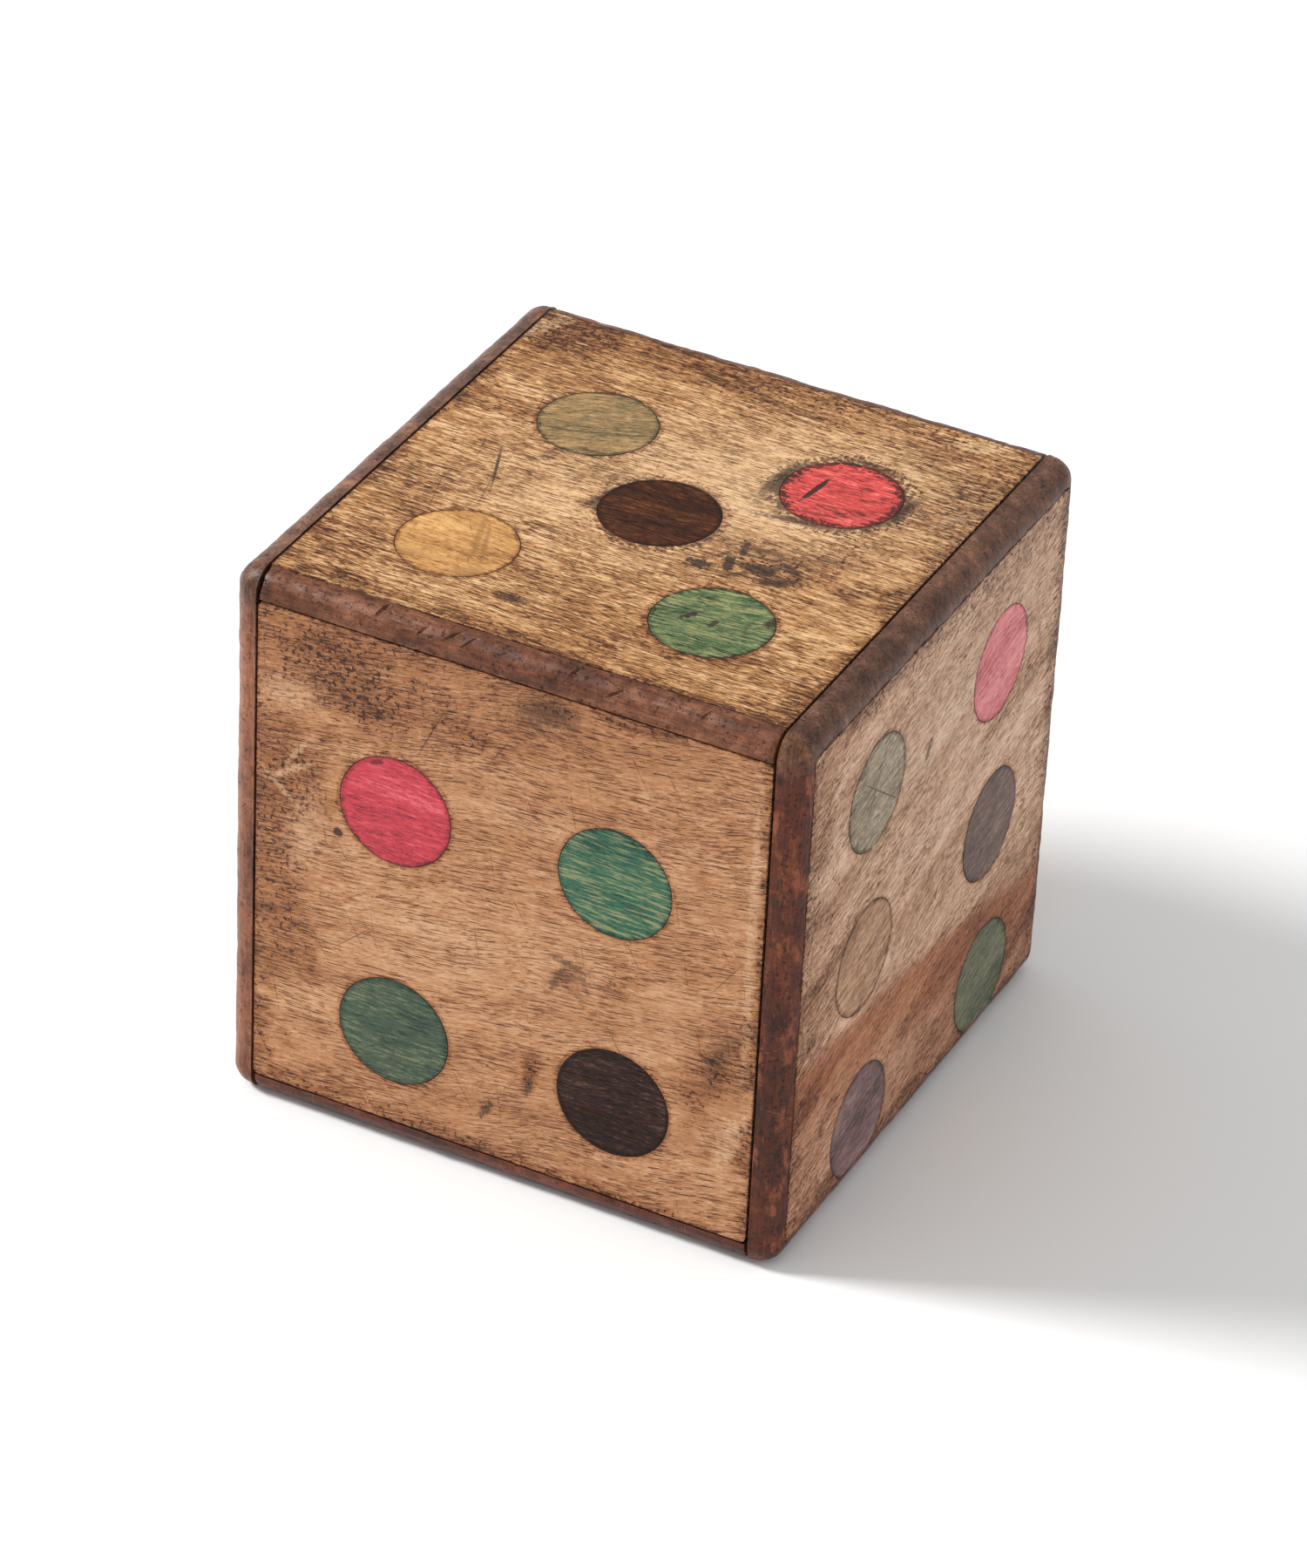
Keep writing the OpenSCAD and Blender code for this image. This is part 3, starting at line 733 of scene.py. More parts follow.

# %% [markdown]
# The end panels' veneer is finer, so its pores are short and its grain climbs to the right.
# The right end stands in shade, so its colours are kept paler than the wood: painted light.
# The left end faces the lamp and gets a darker copy of the same veneer: painted shade.
# The back and the base are seen only from other sides; they follow the front and the top.

# %% Values for the other veneers
right_look = sheet_look(
    "right_veneer", "right", seed=8.0, grain=14, wander=0.8, level=0.72, grit=0.62, streak=0.48,
    drift=0.5, specks=0.5, worn=0.35, line=0.55, vessels=0.4, pores=0.4, pore_depth=0.5,
    pore_scale=(0.7, 3.8), dirt_depth=-0.32, roughness=0.5,
    # These colours are kept paler than the wood itself, to make up for the shade on this side: painted
    # light.
    colours=paints((82, 49, 32), (133, 89, 61), (179, 133, 102), (210, 167, 136), (238, 202, 174)),
    band=(-14.2, -0.15, -0.0013),
    band_colours=paints((78, 40, 25), (120, 66, 41), (154, 94, 63), (178, 115, 80), (204, 147, 110)),
    glue=paint(70, 48, 36), chalk=paint(214, 192, 172), ink_colour=paint(54, 42, 36),
    grime_scale=0.1, grime_start=0.56, edge_reach=3.4, edge_ragged=8.0,
    stains=[
        ((-33, 5), 90, (32, 6), 0.8, 0.95, 0.55),
        ((-31, -30), 40, (8, 3.6), 0.8, 0.9, 0.6),
        ((10, 33), 0, (24, 2.0), 0.8, 0.9, 0.6),
        ((24, -27), 10, (20, 8), 0.8, 0.95, 0.45),
    ],
    ink=[
        ((-2.6, 17.8), 60, (1.3, 0.6), 0.6, 0.3, 0.7),
        ((-14.5, 25.5), 50, (4.0, 0.1), 0.1, 0.4, 0.5),
    ],
    rubbed=[
        ((-7.5, 8.1), 60, (5.0, 1.0), 0.9, 0.7, 0.5),
        ((4.0, 2.0), 40, (4.0, 0.8), 0.9, 0.7, 0.45),
        ((-28, 20), 80, (6.0, 1.4), 0.9, 0.7, 0.45),
        # This broad, soft row is painted light: it makes the upper part of the right face paler, as if more
        # light fell there.
        ((8, 22), 10, (26, 12), 0.7, 0.95, 0.4),
    ],
    scratched=0.55, scratch_turns=(50, -40, 80, 10),
)


def like(look, node_name, face, **changes):
    """The same veneer on another face; its marks stay unless new ones are given."""
    plain = {key: value for key, value in look.items() if key not in ("size", "middle")}
    plain.update(changes)
    return sheet_look(node_name, face, **plain)


back_look = like(
    front_look, "back_veneer", "back", seed=12.0, grain=3,
    stains=[
        ((26, 29), 20, (10, 4), 0.8, 0.8, 0.9),
        ((-30, -22), 80, (12, 4), 0.8, 0.9, 0.8),
        ((2, -32), 0, (18, 3), 0.8, 0.9, 0.7),
    ],
    ink=[((-18, -24), 30, (1.2, 0.6), 0.6, 0.3, 0.8), ((20, 2), 70, (4, 0.1), 0.1, 0.4, 0.6)],
    rubbed=[((-24, 20), 50, (4, 1), 0.9, 0.6, 0.5)],
)
base_look = like(
    top_look, "base_veneer", "base", seed=15.0, grain=5,
    stains=[((20, 24), 10, (9, 5), 0.8, 0.9, 0.8), ((-24, -20), 40, (8, 4), 0.8, 0.9, 0.8)],
    ink=[((6, 4), 40, (1.6, 0.6), 0.6, 0.3, 0.7)],
    rubbed=[((0, -18), 30, (16, 2), 0.9, 0.7, 0.5), ((14, 12), 70, (9, 1.2), 0.9, 0.7, 0.5)],
)
left_look = like(
    right_look, "left_veneer", "left", seed=18.0, grain=-9, band=(-20.0, 0.15, 0.002),
    # These colours and the band's are a darker copy of the end veneer, because this side faces the lamp:
    # painted shade.
    colours=paints((66, 40, 25), (104, 70, 46), (136, 98, 70), (160, 122, 92), (184, 148, 118)),
    band_colours=paints((62, 33, 20), (96, 54, 33), (122, 75, 50), (144, 93, 64), (166, 116, 85)),
    stains=[((30, 20), 80, (14, 4), 0.8, 0.9, 0.7), ((-20, -32), 0, (16, 3), 0.8, 0.9, 0.6)],
    ink=[((-16, 18), 20, (1.4, 0.6), 0.6, 0.3, 0.7)],
    rubbed=[((10, -16), 50, (6, 1), 0.9, 0.7, 0.5)],
)
print("all six looks set")

# %% [markdown]
# Now the six materials are made. The number beside each pip says how much grime has gathered
# round it; the coral pip on the top has by far the most.

# %% Make the six veneers
VENEERS = {
    "top_veneer": veneer("top veneer", "top", {
        "top_pip_front_left": 0.3, "top_pip_back_left": 0.6, "top_pip_centre": 1.2,
        "top_pip_back_right": 2.0, "top_pip_front_right": 0.7}, top_look),
    "front_veneer": veneer("front veneer", "front", {
        "front_pip_upper_left": 0.5, "front_pip_upper_right": 0.3,
        "front_pip_lower_left": 0.4, "front_pip_lower_right": 0.5}, front_look),
    "right_veneer": veneer("right veneer", "right", {
        "right_pip_front_upper": 0.4, "right_pip_back_upper": 0.3,
        "right_pip_front_middle": 0.3, "right_pip_back_middle": 0.4,
        "right_pip_front_lower": 0.3, "right_pip_back_lower": 0.3}, right_look),
    "back_veneer": veneer("back veneer", "back", {
        "back_pip_upper": 0.5, "back_pip_middle": 0.9, "back_pip_lower": 0.5}, back_look),
    "base_veneer": veneer("base veneer", "base", {"base_pip_one": 0.8, "base_pip_two": 0.6}, base_look),
    "left_veneer": veneer("left veneer", "left", {"left_pip": 0.6}, left_look),
}


def dress(name, material):
    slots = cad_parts[name].data.materials
    slots.clear()
    slots.append(material)


for name, material in VENEERS.items():
    dress(name, material)
print("dressed", ", ".join(VENEERS))

# %% [markdown]
# ## Dyed pips
# The pips are discs of the same kind of wood, dyed through and then worn. Each dye is given as
# its own row of tones, from the dye that has gathered in a pore to the place where it has worn
# thin. Green and teal have worn most, so pale streaks of bare wood show along their grain.
# A plain pip's values are given once, and each dye names only what is different about it.

# %% The pip recipe
BARE_WOOD = paint(150, 142, 100)
GLUE_LINE = paint(60, 40, 30)
PLAIN_PIP = dict(
    grain=2, dirt=0.3, halo_depth=-0.3, grit=0.8, streak=0.9, pores=0.2, pore_depth=0.35,
    scratch=-0.25, bare=0.0, bare_strength=0.0, ink_colour=paint(52, 30, 28), shine=0.2)


def pip_material(pip, face, changes):
    look = dict(PLAIN_PIP, **changes)
    material, tree, flat = start_material(pip.replace("_", " "), face)
    centre, radius = pip_circle(face, pip)
    fine = noise(tree, flat, scale=1.5, detail=5.0, roughness=0.62)
    around = use(tree, ring, {"Vector": flat, "Rough": fine, "Centre": centre, "Radius": radius,
                              "Dirt": look["dirt"]})
    cloud = fade(tree, noise(tree, flat, scale=0.3, detail=5.0, roughness=0.6), 0.48, 0.7)
    grain = use(tree, figure, {
        "Vector": flat,
        "Turn": math.radians(-look["grain"]),
        "Wander": 1.0,
        "Seed": look["seed"],
        "Dirt": cloud,
        "Level": 0.6,
        "Grit": look["grit"],
        "Streak": look["streak"],
        "Drift": 0.6,
        "Pore Share": look["pores"],
        "Pore Depth": look["pore_depth"],
        "Pore Scale": (0.6, 4.6, 1),
    })
    tone = maths(tree, "MULTIPLY_ADD", cloud, -0.12, grain["Tone"])
    tone = maths(tree, "MULTIPLY_ADD", around["Halo"], look["halo_depth"], tone)
    scratched = maths(tree, "MULTIPLY", dash_marks(tree, flat, (6, 2.4), (2.6, 0.08), 0.45, (55, -30, 85)),
                      fade(tree, fine, 0.35, 0.6))
    tone = maths(tree, "MULTIPLY_ADD", scratched, look["scratch"], tone)
    colour = tone_colours(tree, tone, look["colours"])
    bare = fade(tree, grain["Fibre"], 1.0 - look["bare"], 1.05)
    colour = mix(tree, maths(tree, "MULTIPLY", bare, look["bare_strength"]), colour, BARE_WOOD)
    low_parts = most(tree, [maths(tree, "MULTIPLY", grain["Pores"], 0.7), scratched, around["Line"]])
    if "ink" in look:
        placed = [((x + centre.x, y + centre.y), *rest) for (x, y), *rest in look["ink"]]
        gouges = marks_on(tree, flat, fine, placed)
        colour = mix(tree, gouges, colour, look["ink_colour"])
        low_parts = most(tree, [low_parts, gouges])
    glue_shows = 0.65 if face == "top" else 0.4
    colour = mix(tree, maths(tree, "MULTIPLY", around["Line"], glue_shows), colour, GLUE_LINE)
    height = maths(tree, "SUBTRACT", maths(tree, "MULTIPLY", grain["Tone"], 0.5), low_parts)
    roughness = maths(tree, "MULTIPLY_ADD", grain["Fibre"], 0.12, 0.42)
    roughness = maths(tree, "MULTIPLY_ADD", low_parts, 0.15, roughness, clamp=True)
    finish_material(tree, colour, roughness, height, relief=0.05, shine=look["shine"])
    return material


print("the pip recipe is ready")

# %% [markdown]
# Dyes age in different ways: coral has kept its strength and gathered the most dirt, dark
# brown and aubergine hardly shine, and on smoke and violet the scratches are pale instead of
# dark.

# %% The dyes, each from its darkest tone to its palest
DYES = {
    "yellow": dict(colours=paints((104, 62, 32), (166, 114, 62), (198, 147, 86), (218, 172, 112)),
                   grit=0.75, streak=0.7, grain=0),
    "olive": dict(colours=paints((62, 54, 38), (106, 94, 62), (150, 117, 75), (180, 146, 100)),
                  grain=24),
    "dark_brown": dict(colours=paints((22, 10, 4), (52, 24, 9), (76, 39, 17), (118, 68, 36)),
                       grit=0.6, shine=0.1),
    "coral": dict(colours=paints((64, 28, 20), (182, 60, 56), (216, 79, 75), (228, 130, 116)),
                  dirt=1.1, halo_depth=-0.5),
    "green": dict(colours=paints((22, 36, 22), (66, 92, 58), (110, 121, 75), (166, 162, 108)),
                  grit=0.7, grain=9, bare=0.35, bare_strength=0.55, pores=0.4, pore_depth=0.5,
                  streak=0.7),
    "pink": dict(colours=paints((112, 36, 46), (177, 54, 66), (197, 65, 77), (220, 106, 111)),
                 grit=0.6, streak=0.7),
    "teal": dict(colours=paints((20, 50, 42), (42, 87, 69), (61, 102, 77), (124, 141, 102)),
                 grit=0.6, streak=0.7, bare=0.4, bare_strength=0.75),
    "dark_green": dict(colours=paints((34, 44, 38), (58, 78, 64), (76, 88, 70), (116, 122, 92)),
                       grit=0.7),
    "aubergine": dict(colours=paints((20, 11, 10), (43, 26, 22), (56, 36, 31), (94, 66, 58)),
                      grit=0.9, shine=0.12),
    "grey": dict(colours=paints((80, 70, 54), (138, 122, 100), (164, 146, 124), (204, 184, 160)),
                 grain=14, grit=1.0, pores=0.5, pore_depth=0.5),
    "rose": dict(colours=paints((134, 52, 62), (204, 98, 105), (226, 128, 131), (238, 160, 156)),
                 grain=14),
    "plain": dict(colours=paints((84, 60, 44), (158, 117, 86), (190, 146, 112), (220, 180, 148)),
                  grain=14, pores=0.4),
    "smoke": dict(colours=paints((60, 42, 38), (98, 77, 70), (118, 93, 85), (152, 126, 112)),
                  grain=14, scratch=0.25),
    "violet": dict(colours=paints((74, 54, 56), (116, 88, 88), (136, 105, 104), (174, 142, 132)),
                   grain=14, scratch=0.25),
    "moss": dict(colours=paints((50, 56, 40), (94, 98, 76), (116, 120, 96), (150, 148, 118)),
                 grain=14, bare=0.3, bare_strength=0.3),
}
print("mixed", len(DYES), "dyes")

# %% [markdown]
# Each pip gets its dye. The faces that can't be seen repeat the dyes of the others. A few pips
# have gouges and cracks of their own, placed in millimetres from the pip's centre and given in
# the same rows as the marks on the veneers.

# %% Dye the pips
PIP_DYES = {
    "top_pip_front_left": ("top", "yellow"),
    "top_pip_back_left": ("top", "olive"),
    "top_pip_centre": ("top", "dark_brown"),
    "top_pip_back_right": ("top", "coral"),
    "top_pip_front_right": ("top", "green"),
    "front_pip_upper_left": ("front", "pink"),
    "front_pip_upper_right": ("front", "teal"),
    "front_pip_lower_left": ("front", "dark_green"),
    "front_pip_lower_right": ("front", "aubergine"),
    "right_pip_front_upper": ("right", "grey"),
    "right_pip_back_upper": ("right", "rose"),
    "right_pip_front_middle": ("right", "plain"),
    "right_pip_back_middle": ("right", "smoke"),
    "right_pip_front_lower": ("right", "violet"),
    "right_pip_back_lower": ("right", "moss"),
    "back_pip_upper": ("back", "teal"),
    "back_pip_middle": ("back", "pink"),
    "back_pip_lower": ("back", "yellow"),
    "base_pip_one": ("base", "dark_brown"),
    "base_pip_two": ("base", "dark_green"),
    "left_pip": ("left", "pink"),
}
PIP_MARKS = {
    "top_pip_front_left": [
        ((1.6, 2.2), -72, (4.6, 0.5), 0.4, 0.7, 0.5),
        ((3.0, 1.4), -70, (4.0, 0.35), 0.4, 0.7, 0.5),
        ((4.8, -5.2), 10, (2.6, 1.2), 0.7, 0.8, 0.5),
        ((-4.2, -4.8), 10, (2.2, 1.0), 0.7, 0.8, 0.4),
    ],
    "top_pip_back_left": [
        ((-3.6, -3.4), 12, (1.8, 0.2), 0.2, 0.5, 0.7),
        ((3.0, -6.0), 8, (2.4, 0.3), 0.5, 0.5, 0.6),
    ],
    "top_pip_back_right": [
        ((-3.3, -0.3), 82, (3.1, 0.4), 0.2, 0.2, 0.95),
        ((1.8, -3.9), 30, (0.9, 0.25), 0.5, 0.4, 0.7),
        ((4.0, -2.6), 0, (0.6, 0.4), 0.5, 0.4, 0.7),
        ((-1.0, -5.4), 10, (2.4, 0.3), 0.7, 0.5, 0.6),
    ],
    "top_pip_front_right": [
        ((-3.0, 0.2), 55, (1.5, 0.45), 0.6, 0.3, 0.9),
        ((0.2, -0.2), 70, (1.0, 0.4), 0.7, 0.3, 0.8),
        ((6.1, 3.3), 80, (1.1, 0.7), 0.6, 0.4, 0.85),
        ((-2.0, 4.6), 0, (1.4, 0.3), 0.7, 0.4, 0.6),
    ],
    "front_pip_upper_left": [((-2.6, 6.3), 20, (1.0, 0.35), 0.6, 0.4, 0.7)],
    "right_pip_front_upper": [
        ((-0.4, 1.0), 62, (6.6, 0.1), 0.1, 0.4, 0.7),
        ((1.2, -0.6), -38, (6.0, 0.1), 0.1, 0.4, 0.6),
    ],
}
for count, (pip, (face, colour_name)) in enumerate(PIP_DYES.items()):
    look = dict(DYES[colour_name], seed=20.0 + 3.0 * count)
    if pip in PIP_MARKS:
        look["ink"] = PIP_MARKS[pip]
    if pip == "top_pip_front_left":
        look["ink_colour"] = paint(112, 72, 38)
    dress(pip, pip_material(pip, face, look))
print("dyed", len(PIP_DYES), "pips")

# %% [markdown]
# ## The dark core wood
# The boards under the veneer are a dark reddish wood. Only their rounded edges show. Handling
# has polished them, rubbed some stretches back to a redder brown and left small pale nicks.
# Hands have greyed the end boards' upper edges, so these get a second row of colours there.

# %% The core wood recipe


def core_wood(name, face, grain_turn, seed, colours, rubbed_colour, rub_start, upper_colours=None):
    material, tree, flat = start_material(name, face)
    turned = node(tree, "VectorRotate", {"Vector": flat, "Angle": math.radians(-grain_turn)},
                  rotation_type="Z_AXIS").outputs[0]
    moved = vectors(tree, "ADD", turned, (7.0 * seed, 3.0 * seed, 0))
    fibre = noise(tree, vectors(tree, "MULTIPLY", moved, (0.35, 3.2, 3.2)), detail=5.0, roughness=0.7)
    slow = noise(tree, vectors(tree, "MULTIPLY", moved, (0.08, 0.25, 0.25)), detail=4.0, roughness=0.6)
    rub = noise(tree, vectors(tree, "MULTIPLY", moved, (0.16, 0.35, 0.35)), detail=6.0, roughness=0.7)
    grime = noise(tree, moved, scale=0.7, detail=6.0, roughness=0.7)
    pits = fade(tree, noise(tree, moved, scale=1.9, detail=4.0, roughness=0.65), 0.58, 0.66)
    tone = maths(tree, "MULTIPLY_ADD", signed(tree, fibre), 0.5, 0.55)
    tone = maths(tree, "MULTIPLY_ADD", signed(tree, slow), 0.6, tone)
    tone = maths(tree, "MULTIPLY_ADD", signed(tree, grime), 0.5, tone)
    tone = maths(tree, "MULTIPLY_ADD", pits, -0.3, tone)
    colour = tone_colours(tree, tone, colours)
    red = maths(tree, "MULTIPLY", fade(tree, rub, rub_start, rub_start + 0.1), 0.75)
    colour = mix(tree, red, colour, rubbed_colour)
    if upper_colours:
        height_up = node(tree, "SeparateXYZ", {0: flat}).outputs[1]
        above = fade(tree, height_up, 32.0, 36.0)
        colour = mix(tree, above, colour, tone_colours(tree, tone, upper_colours))
    nicks = dash_marks(tree, flat, (6, 3.4), (1.6, 0.1), 0.35, (35, -55, 100))
    nicks = maths(tree, "MULTIPLY", nicks, fade(tree, grime, 0.4, 0.6))
    colour = mix(tree, maths(tree, "MULTIPLY", nicks, 0.3), colour, paint(170, 128, 104))
    low_parts = most(tree, [nicks, pits])
    height = maths(tree, "SUBTRACT", maths(tree, "MULTIPLY", fibre, 0.7), low_parts)
    roughness = maths(tree, "MULTIPLY_ADD", grime, 0.4, 0.14)
    finish_material(tree, colour, roughness, height, relief=0.08, shine=0.25)
    return material


BROWN = paints((28, 14, 8), (68, 38, 24), (106, 63, 42), (148, 97, 70))
RED_BROWN = paints((24, 10, 5), (60, 25, 12), (96, 43, 21), (140, 74, 42))
GREY_BROWN = paints((26, 14, 9), (66, 40, 27), (108, 71, 52), (154, 108, 82))
WARM_BROWN = paints((40, 20, 12), (92, 52, 34), (132, 80, 54), (168, 112, 82))
BOARDS = {
    "top_board": ("top", 0.0, BROWN, paint(122, 72, 50), 0.58),
    "base_board": ("base", 0.0, RED_BROWN, paint(118, 68, 48), 0.58),
    "left_board": ("left", 90.0, WARM_BROWN, paint(140, 84, 58), 0.55, GREY_BROWN),
    "right_board": ("right", 90.0, RED_BROWN, paint(150, 82, 54), 0.51, GREY_BROWN),
    "front_wall": ("front", 0.0, RED_BROWN, paint(118, 68, 48), 0.58),
    "back_wall": ("back", 0.0, RED_BROWN, paint(118, 68, 48), 0.58),
}
for count, (name, (face, turn, *finish)) in enumerate(BOARDS.items()):
    dress(name, core_wood(name.replace("_", " "), face, turn, 1.0 + count, *finish))
print("dressed", ", ".join(BOARDS))

# %% [markdown]
# ## Boards with handled edges
# A real board's rounded edge isn't true after years in the hand: it has soft flats, dents and
# a rim that has crumbled beside the veneer. A material alone can't change an outline, so the
# four outer boards are modelled again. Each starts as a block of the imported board's own size,
# gets its recess for the veneer and its rounds, and is then cut finely along its edges so that
# a Displace modifier can press it inwards. Pressing only inwards keeps the real size.

# %% Helpers for modelling
HAIR = 0.02 * MM


def choose(thing, kind, test):
    """In edit mode, selects the edges or faces that pass a test."""
    bpy.ops.mesh.select_mode(type=kind)
    bpy.ops.mesh.select_all(action="DESELECT")
    shape = bmesh.from_edit_mesh(thing.data)
    parts = shape.edges if kind == "EDGE" else shape.faces
    for part in parts:
        if test(part):
            part.select_set(True)
    bmesh.update_edit_mesh(thing.data)


def runs_along(edge, axis, at_least):
    way = edge.verts[1].co - edge.verts[0].co
    return abs(way[axis]) > at_least and abs(way[axis]) > 0.99 * way.length


def all_at(part, axis, place):
    return all(abs(vertex.co[axis] - place) < HAIR for vertex in part.verts)


def start_block(name, low, high):
    bpy.ops.object.select_all(action="DESELECT")
    bpy.ops.mesh.primitive_cube_add(size=1.0, location=(low + high) / 2, scale=high - low)
    block = bpy.context.object
    block.name = name
    bpy.ops.object.transform_apply(location=True, rotation=True, scale=True)
    return block


def pick(thing):
    """Selects this object alone and makes it the active one."""
    bpy.ops.object.select_all(action="DESELECT")
    thing.select_set(True)
    bpy.context.view_layer.objects.active = thing


def apply_all(thing):
    pick(thing)
    for name in [modifier.name for modifier in thing.modifiers]:
        bpy.ops.object.modifier_apply(modifier=name)


VENEER_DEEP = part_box("top_veneer")[1].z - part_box("top_veneer")[0].z
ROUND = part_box("top_board")[1].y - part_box("top_veneer")[1].y
ROUND_STEPS = 12
LONG_CUTS = 190
print("veneer", round(VENEER_DEEP / MM, 2), "mm deep, rounds of", round(ROUND / MM, 2), "mm")

# %% [markdown]
# The lid and the base board are a flat middle with a raised bar along two edges, and the bar's
# outer edge is rounded. The block is split where the bars start, and the bars are pulled up by
# the depth of the veneer.

# %% Model a sliding board


def sliding_board(name, outer):
    """Outer is the height of the board's outside, and its veneer is let in from there."""
    low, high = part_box(name)
    up = 1 if outer > box_middle.z else -1
    seat = outer - up * VENEER_DEEP
    low.z, high.z = sorted((seat, high.z if up < 0 else low.z))
    board = start_block("worn_" + name, low, high)
    bpy.ops.object.mode_set(mode="EDIT")
    for side in (-1, 1):
        bpy.ops.mesh.select_all(action="SELECT")
        bpy.ops.mesh.bisect(plane_co=(0, side * (high.y - ROUND), 0), plane_no=(0, 1, 0))
    choose(board, "FACE", lambda face: all_at(face, 2, seat)
           and abs(face.calc_center_median().y) > high.y - ROUND)
    bpy.ops.mesh.extrude_region_move(TRANSFORM_OT_translate={"value": (0, 0, up * VENEER_DEEP)})
    bpy.ops.mesh.select_all(action="SELECT")
    bpy.ops.mesh.dissolve_limited(angle_limit=0.02)
    choose(board, "EDGE", lambda edge: all_at(edge, 2, outer) and runs_along(edge, 0, 0.03)
           and abs(edge.verts[0].co.y) > high.y - HAIR)
    bpy.ops.mesh.bevel(offset=ROUND - HAIR / 4, segments=ROUND_STEPS, profile=0.5, affect="EDGES",
                       clamp_overlap=False)
    bpy.ops.mesh.select_all(action="SELECT")
    bpy.ops.mesh.remove_doubles(threshold=HAIR)
    choose(board, "EDGE", lambda edge: any(all_at(edge, 0, x) for x in (low.x, high.x))
           and abs(edge.verts[0].co.y) > high.y - ROUND - HAIR
           and abs(edge.verts[1].co.y) > high.y - ROUND - HAIR
           and edge.calc_length() < 0.6 * MM)
    bpy.ops.mesh.bevel(offset=0.35 * MM, segments=2, profile=0.5, affect="EDGES", clamp_overlap=True)
    choose(board, "EDGE", lambda edge: runs_along(edge, 0, 0.03))
    bpy.ops.mesh.subdivide(number_cuts=LONG_CUTS)
    bpy.ops.mesh.select_all(action="SELECT")
    bpy.ops.mesh.normals_make_consistent(inside=False)
    bpy.ops.object.mode_set(mode="OBJECT")
    return board


print("the sliding board maker is ready")

# %% [markdown]
# An end board is rounded on all four edges and at its corners, which a bevel does in one go.
# Its two big flat faces are taken away while the edges are cut finely, because the cuts would
# otherwise run right across them, and are filled again afterwards.

# %% Model an end board


def end_board(name, outer):
    low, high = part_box(name)
    way = 1 if outer > box_middle.x else -1
    inner = low.x if way > 0 else high.x
    board = start_block("worn_" + name, low, high)
    bpy.ops.object.mode_set(mode="EDIT")
    choose(board, "EDGE", lambda edge: all_at(edge, 0, outer) or runs_along(edge, 0, 0.5 * MM))
    bpy.ops.mesh.bevel(offset=ROUND, segments=ROUND_STEPS, profile=0.5, affect="EDGES", clamp_overlap=False)
    choose(board, "FACE", lambda face: all_at(face, 0, outer))
    bpy.ops.mesh.extrude_region_move(TRANSFORM_OT_translate={"value": (-way * VENEER_DEEP, 0, 0)})
    choose(board, "FACE", lambda face: face.calc_area() > 0.003)
    bpy.ops.mesh.delete(type="ONLY_FACE")
    for axis in (1, 2):
        choose(board, "EDGE", lambda edge: runs_along(edge, axis, 0.03))
        bpy.ops.mesh.subdivide(number_cuts=LONG_CUTS)
    bpy.ops.mesh.select_mode(type="EDGE")
    bpy.ops.mesh.select_all(action="SELECT")
    bpy.ops.mesh.fill_holes(sides=0)
    bpy.ops.mesh.select_all(action="SELECT")
    bpy.ops.mesh.normals_make_consistent(inside=False)
    bpy.ops.object.mode_set(mode="OBJECT")
    return board


print("the end board maker is ready")

# %% [markdown]
# Wear has two sizes: soft hollows a few millimetres long, and a fine crumble. Both come from
# a Clouds texture, which reads the mesh's own coordinates. They act only on the round, through
# a vertex group, so that the faces which slide on other pieces stay flat.

# %% Wear a board's edges


def clouds(name, size, depth, brightness, contrast):
    texture = bpy.data.textures.new(name, "CLOUDS")
    texture.noise_scale = size
    texture.noise_depth = depth
    texture.intensity = brightness
    texture.contrast = contrast
    texture.use_clamp = True
    return texture


HOLLOWS = clouds("soft hollows", 6.0 * MM, 2, 1.2, 1.5)
CRUMBLE = clouds("crumble", 1.3 * MM, 3, 1.2, 1.8)


def wear(board, hollow_depth, crumble_depth, on_round):
    group = board.vertex_groups.new(name="round")
    group.add([v.index for v in board.data.vertices if on_round(v.co)], 1.0, "REPLACE")
    for texture, depth in ((HOLLOWS, hollow_depth), (CRUMBLE, crumble_depth)):
        press = board.modifiers.new(texture.name, "DISPLACE")
        press.texture = texture
        press.texture_coords = "LOCAL"
        press.mid_level = 1.0
        press.strength = depth * MM
        press.vertex_group = "round"
    apply_all(board)


print("wear ready")

# %% [markdown]
# Deeper dents are cut. Each is a thin lens pressed slantwise into the round, as when the box
# is knocked against a table's edge. The lenses are joined into one cutter for each board.

# %% Cut dents


def lens(place, half_size, lift, slant):
    """Its long side lies on the round at the given lift, slanted from straight across."""
    lean = Matrix.Rotation(math.radians(90 - lift), 3, "X")
    turn = (lean @ Matrix.Rotation(math.radians(slant), 3, "Z")).to_euler()
    bpy.ops.object.select_all(action="DESELECT")
    bpy.ops.mesh.primitive_uv_sphere_add(segments=24, ring_count=12, radius=1.0, location=place,
                                         scale=[half * MM for half in half_size], rotation=turn)
    made = bpy.context.object
    bpy.ops.object.transform_apply(location=True, rotation=True, scale=True)
    return made


def cut_away(board, cutters):
    bpy.ops.object.select_all(action="DESELECT")
    for cutter in cutters:
        cutter.select_set(True)
    bpy.context.view_layer.objects.active = cutters[0]
    if len(cutters) > 1:
        bpy.ops.object.join()
    cut = board.modifiers.new("cut", "BOOLEAN")
    cut.operation = "DIFFERENCE"
    cut.solver = "EXACT"
    cut.object = cutters[0]
    apply_all(board)
    bpy.data.objects.remove(cutters[0])


